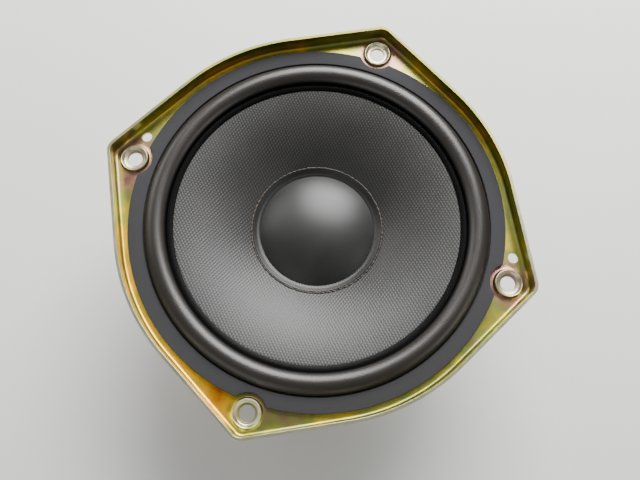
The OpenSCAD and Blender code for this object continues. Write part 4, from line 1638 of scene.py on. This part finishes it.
@dataclass
class Terminals:
    """Terminal board, blades, eyelets, solder and the braided tinsel leads."""

    eyelet_y: float = -48.0
    solder_y: float = -44.1
    spacing: float = 6.8
    lead_r: float = 0.65
    lead_end_r: float = 14.05
    lead_end_angle: float = 26.0
    lead_end_z: float = 32.1
    strands: int = 8

    def board(self) -> None:
        """Makes the laminate board."""
        low, high = box_mm("terminal_board")
        plan = MeshPlan()
        plan.raised(soften([(low.x, low.y), (high.x, low.y), (high.x, high.y), (low.x, high.y)],
                           [1.4] * 4, 6), low.z + 0.01, high.z)
        piece = plan.make("terminal_board_laminate")
        Basket.bevelled(piece, 0.12)
        hand_over(piece, LAMINATE, Body.FRAME, ["terminal_board"])

    def blade(self, name: str, node: str) -> None:
        """Makes one flat terminal with a tapered end and rounded corners.

        Args:
            name: The piece's name.
            node: The CAD node it stands for.
        """
        low, high = box_mm(node)
        corner = min(1.0, (high.x - low.x) * 0.2)
        outline = soften([(low.x + corner, low.y), (high.x - corner, low.y),
                          (high.x, low.y + corner * 1.2), (high.x, high.y), (low.x, high.y),
                          (low.x, low.y + corner * 1.2)], [0.3, 0.3, 0.3, 0.6, 0.6, 0.3], 4)
        plan = MeshPlan()
        plan.raised(outline, low.z + 0.01, high.z)
        piece = plan.make(name)
        Basket.bevelled(piece, 0.15)
        hand_over(piece, TIN, Body.FRAME, [node])

    def eyelets(self) -> None:
        """Makes the two tubular eyelets and the rivet in the middle."""
        low, high = box_mm("terminal_eyelets")
        plan = MeshPlan()
        for x in (-self.spacing, self.spacing):
            radius = (high.x - self.spacing)
            plan.turned([(0.85, low.z + 0.1), (1.3, low.z), (radius, low.z + 0.12),
                         (radius, low.z + 0.32), (1.5, low.z + 0.42), (1.5, high.z - 0.42),
                         (radius, high.z - 0.32), (radius, high.z - 0.12), (1.3, high.z),
                         (0.85, high.z - 0.1)], 36, (x, self.eyelet_y))
        hand_over(plan.make("terminal_eyelet_pair", 50), TIN, Body.FRAME, ["terminal_eyelets"])
        low, high = box_mm("board_rivet")
        radius = high.x
        plan = MeshPlan()
        plan.turned([(0.0, low.z), (radius * 0.6, low.z), (radius, low.z + 0.35),
                     (radius, low.z + 0.5), (1.48, low.z + 0.5), (1.48, high.z - 0.5),
                     (radius, high.z - 0.5), (radius, high.z - 0.35), (radius * 0.6, high.z),
                     (0.0, high.z - 0.05)], 36, (0.0, self.eyelet_y), False)
        hand_over(plan.make("board_rivet_headed", 50), RIVET, Body.FRAME, ["board_rivet"])

    def solder(self) -> None:
        """Makes the solder where each lead meets its terminal."""
        low, high = box_mm("terminal_solder")
        plan = MeshPlan()
        for number, x in enumerate((-self.spacing, self.spacing)):
            plan.dab(Vector((x, self.solder_y, low.z + 0.12)),
                     Vector((1.0, 1.0, high.z - low.z - 0.12)), number + 20)
        hand_over(plan.make("terminal_solder_dabs", 60), SOLDER, Body.FRAME, ["terminal_solder"])

    def route(self, sign: float) -> list[Vector]:
        """Gives a lead's path from its terminal, up in a loop and in to the collar.

        Args:
            sign: 1 for the positive lead and -1 for the negative one.

        Returns:
            Points of the path.
        """
        end = polar(self.lead_end_r, -90 + sign * self.lead_end_angle, self.lead_end_z)
        start = Vector((sign * self.spacing, self.solder_y, box_mm("terminal_positive")[1].z))
        made = []
        for k in range(41):
            part = k / 40
            loop = 3.4 * math.sin(math.pi * min(1.0, part / 0.42) ** 0.75 / 2)
            fall = 1 - smooth((part - 0.22) / 0.78)
            height = start.z + (end.z - start.z) * part + 0.45 + loop * fall
            across = start.x + (end.x - start.x) * smooth((part - 0.2) / 0.78)
            made.append(Vector((across, start.y + (end.y - start.y) * part, height - 0.25 * part)))
        return made

    def braid_tree(self) -> bpy.types.NodeTree:
        """Builds the tree that lays strands round a path, half of them each way.

        Returns:
            The geometry tree.
        """
        tree, given = new_tree("braid", {
            "Strands": "NodeSocketInt", "Strand": "NodeSocketFloat", "Lay": "NodeSocketFloat",
            "Turns": "NodeSocketFloat", "Finish": "NodeSocketMaterial"})
        path = add_node(tree, "GeometryNodeMeshToCurve", inputs={
            "Mesh": given.outputs["Geometry"]})
        fine = add_node(tree, "GeometryNodeResampleCurve",
                        inputs={"Curve": path.outputs[0], "Count": 170})
        copies = add_node(tree, "GeometryNodeDuplicateElements", {"domain": "SPLINE"}, {
            "Geometry": fine.outputs[0], "Amount": given.outputs["Strands"]})
        number = copies.outputs["Duplicate Index"]
        along = add_node(tree, "GeometryNodeSplineParameter").outputs["Factor"]
        odd = maths(tree, "MODULO", number, 2.0)
        hand = maths(tree, "MULTIPLY_ADD", odd, 2.0, -1.0)
        wound = maths(tree, "MULTIPLY", along, given.outputs["Turns"])
        signed = maths(tree, "MULTIPLY", wound, hand)
        place = maths(tree, "DIVIDE", number, given.outputs["Strands"])
        total = maths(tree, "ADD", signed, place)
        angle = maths(tree, "MULTIPLY", total, 2 * math.pi)
        normal = add_node(tree, "GeometryNodeInputNormal").outputs[0]
        tangent = add_node(tree, "GeometryNodeInputTangent").outputs[0]
        other = add_node(tree, "ShaderNodeVectorMath", {"operation": "CROSS_PRODUCT"},
                         {0: tangent, 1: normal})
        one = add_node(tree, "ShaderNodeVectorMath", {"operation": "SCALE"},
                       {0: normal, "Scale": maths(tree, "COSINE", angle)})
        two = add_node(tree, "ShaderNodeVectorMath", {"operation": "SCALE"},
                       {0: other.outputs[0], "Scale": maths(tree, "SINE", angle)})
        both = add_node(tree, "ShaderNodeVectorMath", {"operation": "ADD"},
                        {0: one.outputs[0], 1: two.outputs[0]})
        offset = add_node(tree, "ShaderNodeVectorMath", {"operation": "SCALE"},
                          {0: both.outputs[0], "Scale": given.outputs["Lay"]})
        moved = add_node(tree, "GeometryNodeSetPosition", inputs={
            "Geometry": copies.outputs["Geometry"], "Offset": offset.outputs[0]})
        section = add_node(tree, "GeometryNodeCurvePrimitiveCircle",
                           inputs={"Resolution": 6, "Radius": given.outputs["Strand"]})
        tube = add_node(tree, "GeometryNodeCurveToMesh", inputs={
            "Curve": moved.outputs[0], "Profile Curve": section.outputs[0], "Fill Caps": True})
        end_tree(tree, tube.outputs[0], given.outputs["Finish"])
        return tree

    def leads(self) -> None:
        """Makes the two braided leads, which bend between terminal and collar."""
        tree = self.braid_tree()
        for sign, label in ((1.0, "positive"), (-1.0, "negative")):
            path = self.route(sign)
            mesh = bpy.data.meshes.new(f"tinsel_braid_{label}")
            mesh.from_pydata([p * MM for p in path], [(k, k + 1) for k in range(len(path) - 1)], [])
            piece = bpy.data.objects.new(mesh.name, mesh)
            bpy.context.scene.collection.objects.link(piece)
            grow(tree, piece, {"Strands": self.strands, "Strand": 0.19 * MM,
                               "Lay": (self.lead_r - 0.19) * MM, "Turns": 7.0,
                               "Finish": TINSEL.material()})
            piece.data.shade_smooth()
            first, last = path[0].y, path[-1].y
            bend_between(piece, lambda spot: smooth((spot.y - first) / (last - first)))
            hand_over(piece, TINSEL, None, [f"tinsel_lead_{label}"])

    def build(self) -> None:
        """Makes every terminal piece."""
        self.board()
        self.blade("blade_positive", "terminal_positive")
        self.blade("blade_negative", "terminal_negative")
        self.eyelets()
        self.solder()
        self.leads()


# ------------------------------------------------------------------ studio


@dataclass
class Studio:
    """Pale floor, soft lights and the camera."""

    azimuth: float = -28.75
    elevation: float = 74.65
    roll: float = 2.9
    distance: float = 206.8
    aim: Pair = (-2.2, -6.6)
    lens: float = 35.35
    floor_half: float = 2000.0

    def floor(self) -> None:
        """Makes the pale floor on which the driver stands."""
        plan = MeshPlan()
        far = self.floor_half
        plan.face([Vector((x, y, 0.0)) for x, y in
                   ((-far, -far), (far, -far), (far, far), (-far, far))])
        piece = plan.make("studio_floor")
        # Painted board: an even, matt off-white
        paint = Grained("studio_board_painted", "", 0.8, 0.0, "D2D2CF", "DADAD7", 300.0, 4.0,
                        0.01, 0.02)
        piece.data.materials.append(paint.material())
        piece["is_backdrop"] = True

    def lamp(self, name: str, way: Vector, distance: float, size: float, power: float) -> None:
        """Places one soft square lamp that faces the driver.

        Args:
            name: The lamp's name.
            way: Direction from the driver to the lamp.
            distance: Distance in metres.
            size: Side of the lamp in metres.
            power: Its power in watts.
        """
        data = bpy.data.lights.new(name, "AREA")
        data.shape, data.size, data.energy = "SQUARE", size, power
        made = bpy.data.objects.new(name, data)
        target = Vector((0, 0, 0.045))
        made.location = target + way.normalized() * distance
        made.rotation_euler = way.to_track_quat("Z", "Y").to_euler()
        bpy.context.scene.collection.objects.link(made)

    def camera(self) -> None:
        """Sets the camera at its viewing angle."""
        a, e, r = map(math.radians, (self.azimuth, self.elevation, self.roll))
        back = Vector((math.sin(a) * math.cos(e), -math.cos(a) * math.cos(e), math.sin(e)))
        flat = Vector((0, 0, 1)).cross(back).normalized()
        rise = back.cross(flat)
        right = flat * math.cos(r) + rise * math.sin(r)
        up = rise * math.cos(r) - flat * math.sin(r)
        aim = Vector((*self.aim, box_mm("front_gasket")[1].z - 1.5))
        data = bpy.data.cameras.new("camera")
        data.lens, data.sensor_width = self.lens, 36.0
        data.clip_start, data.clip_end = 0.01, 20.0
        made = bpy.data.objects.new("camera", data)
        turn = Matrix((right, up, back)).transposed().to_4x4()
        made.matrix_world = Matrix.Translation((aim + back * self.distance) * MM) @ turn
        bpy.context.scene.collection.objects.link(made)
        bpy.context.scene.camera = made

    def build(self) -> None:
        """Makes the floor, lights and camera."""
        world = bpy.data.worlds.new("studio")
        world.use_nodes = True
        sky = world.node_tree.nodes["Background"]
        sky.inputs["Color"].default_value = linear("EFF1F4")
        sky.inputs["Strength"].default_value = 0.27
        bpy.context.scene.world = world
        self.floor()
        self.lamp("key_softbox", Vector((0.52, 0.60, 0.61)), 0.62, 0.5, 15.0)
        self.lamp("fill_softbox", Vector((-0.75, -0.45, 0.3)), 0.8, 0.6, 1.8)
        self.lamp("back_softbox", Vector((-0.45, 0.8, 0.45)), 0.9, 0.5, 3.0)
        self.lamp("front_softbox", Vector((0.6, -0.75, 0.3)), 0.9, 0.5, 2.0)
        self.camera()


def main(cad: tuple[Vector, Vector]) -> None:
    """Builds every sub-assembly in order.

    Args:
        cad: The CAD model's lowest and highest corner; not used.
    """
    logging.basicConfig(level=logging.INFO, format="%(name)s: %(message)s")
    for group in (Studio(), Basket(), Gasket(), Diaphragm(), CoilGroup(), Motor(), Terminals()):
        LOG.info("building %s", type(group).__name__)
        group.build()


if __name__ == "__main__":
    main(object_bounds())
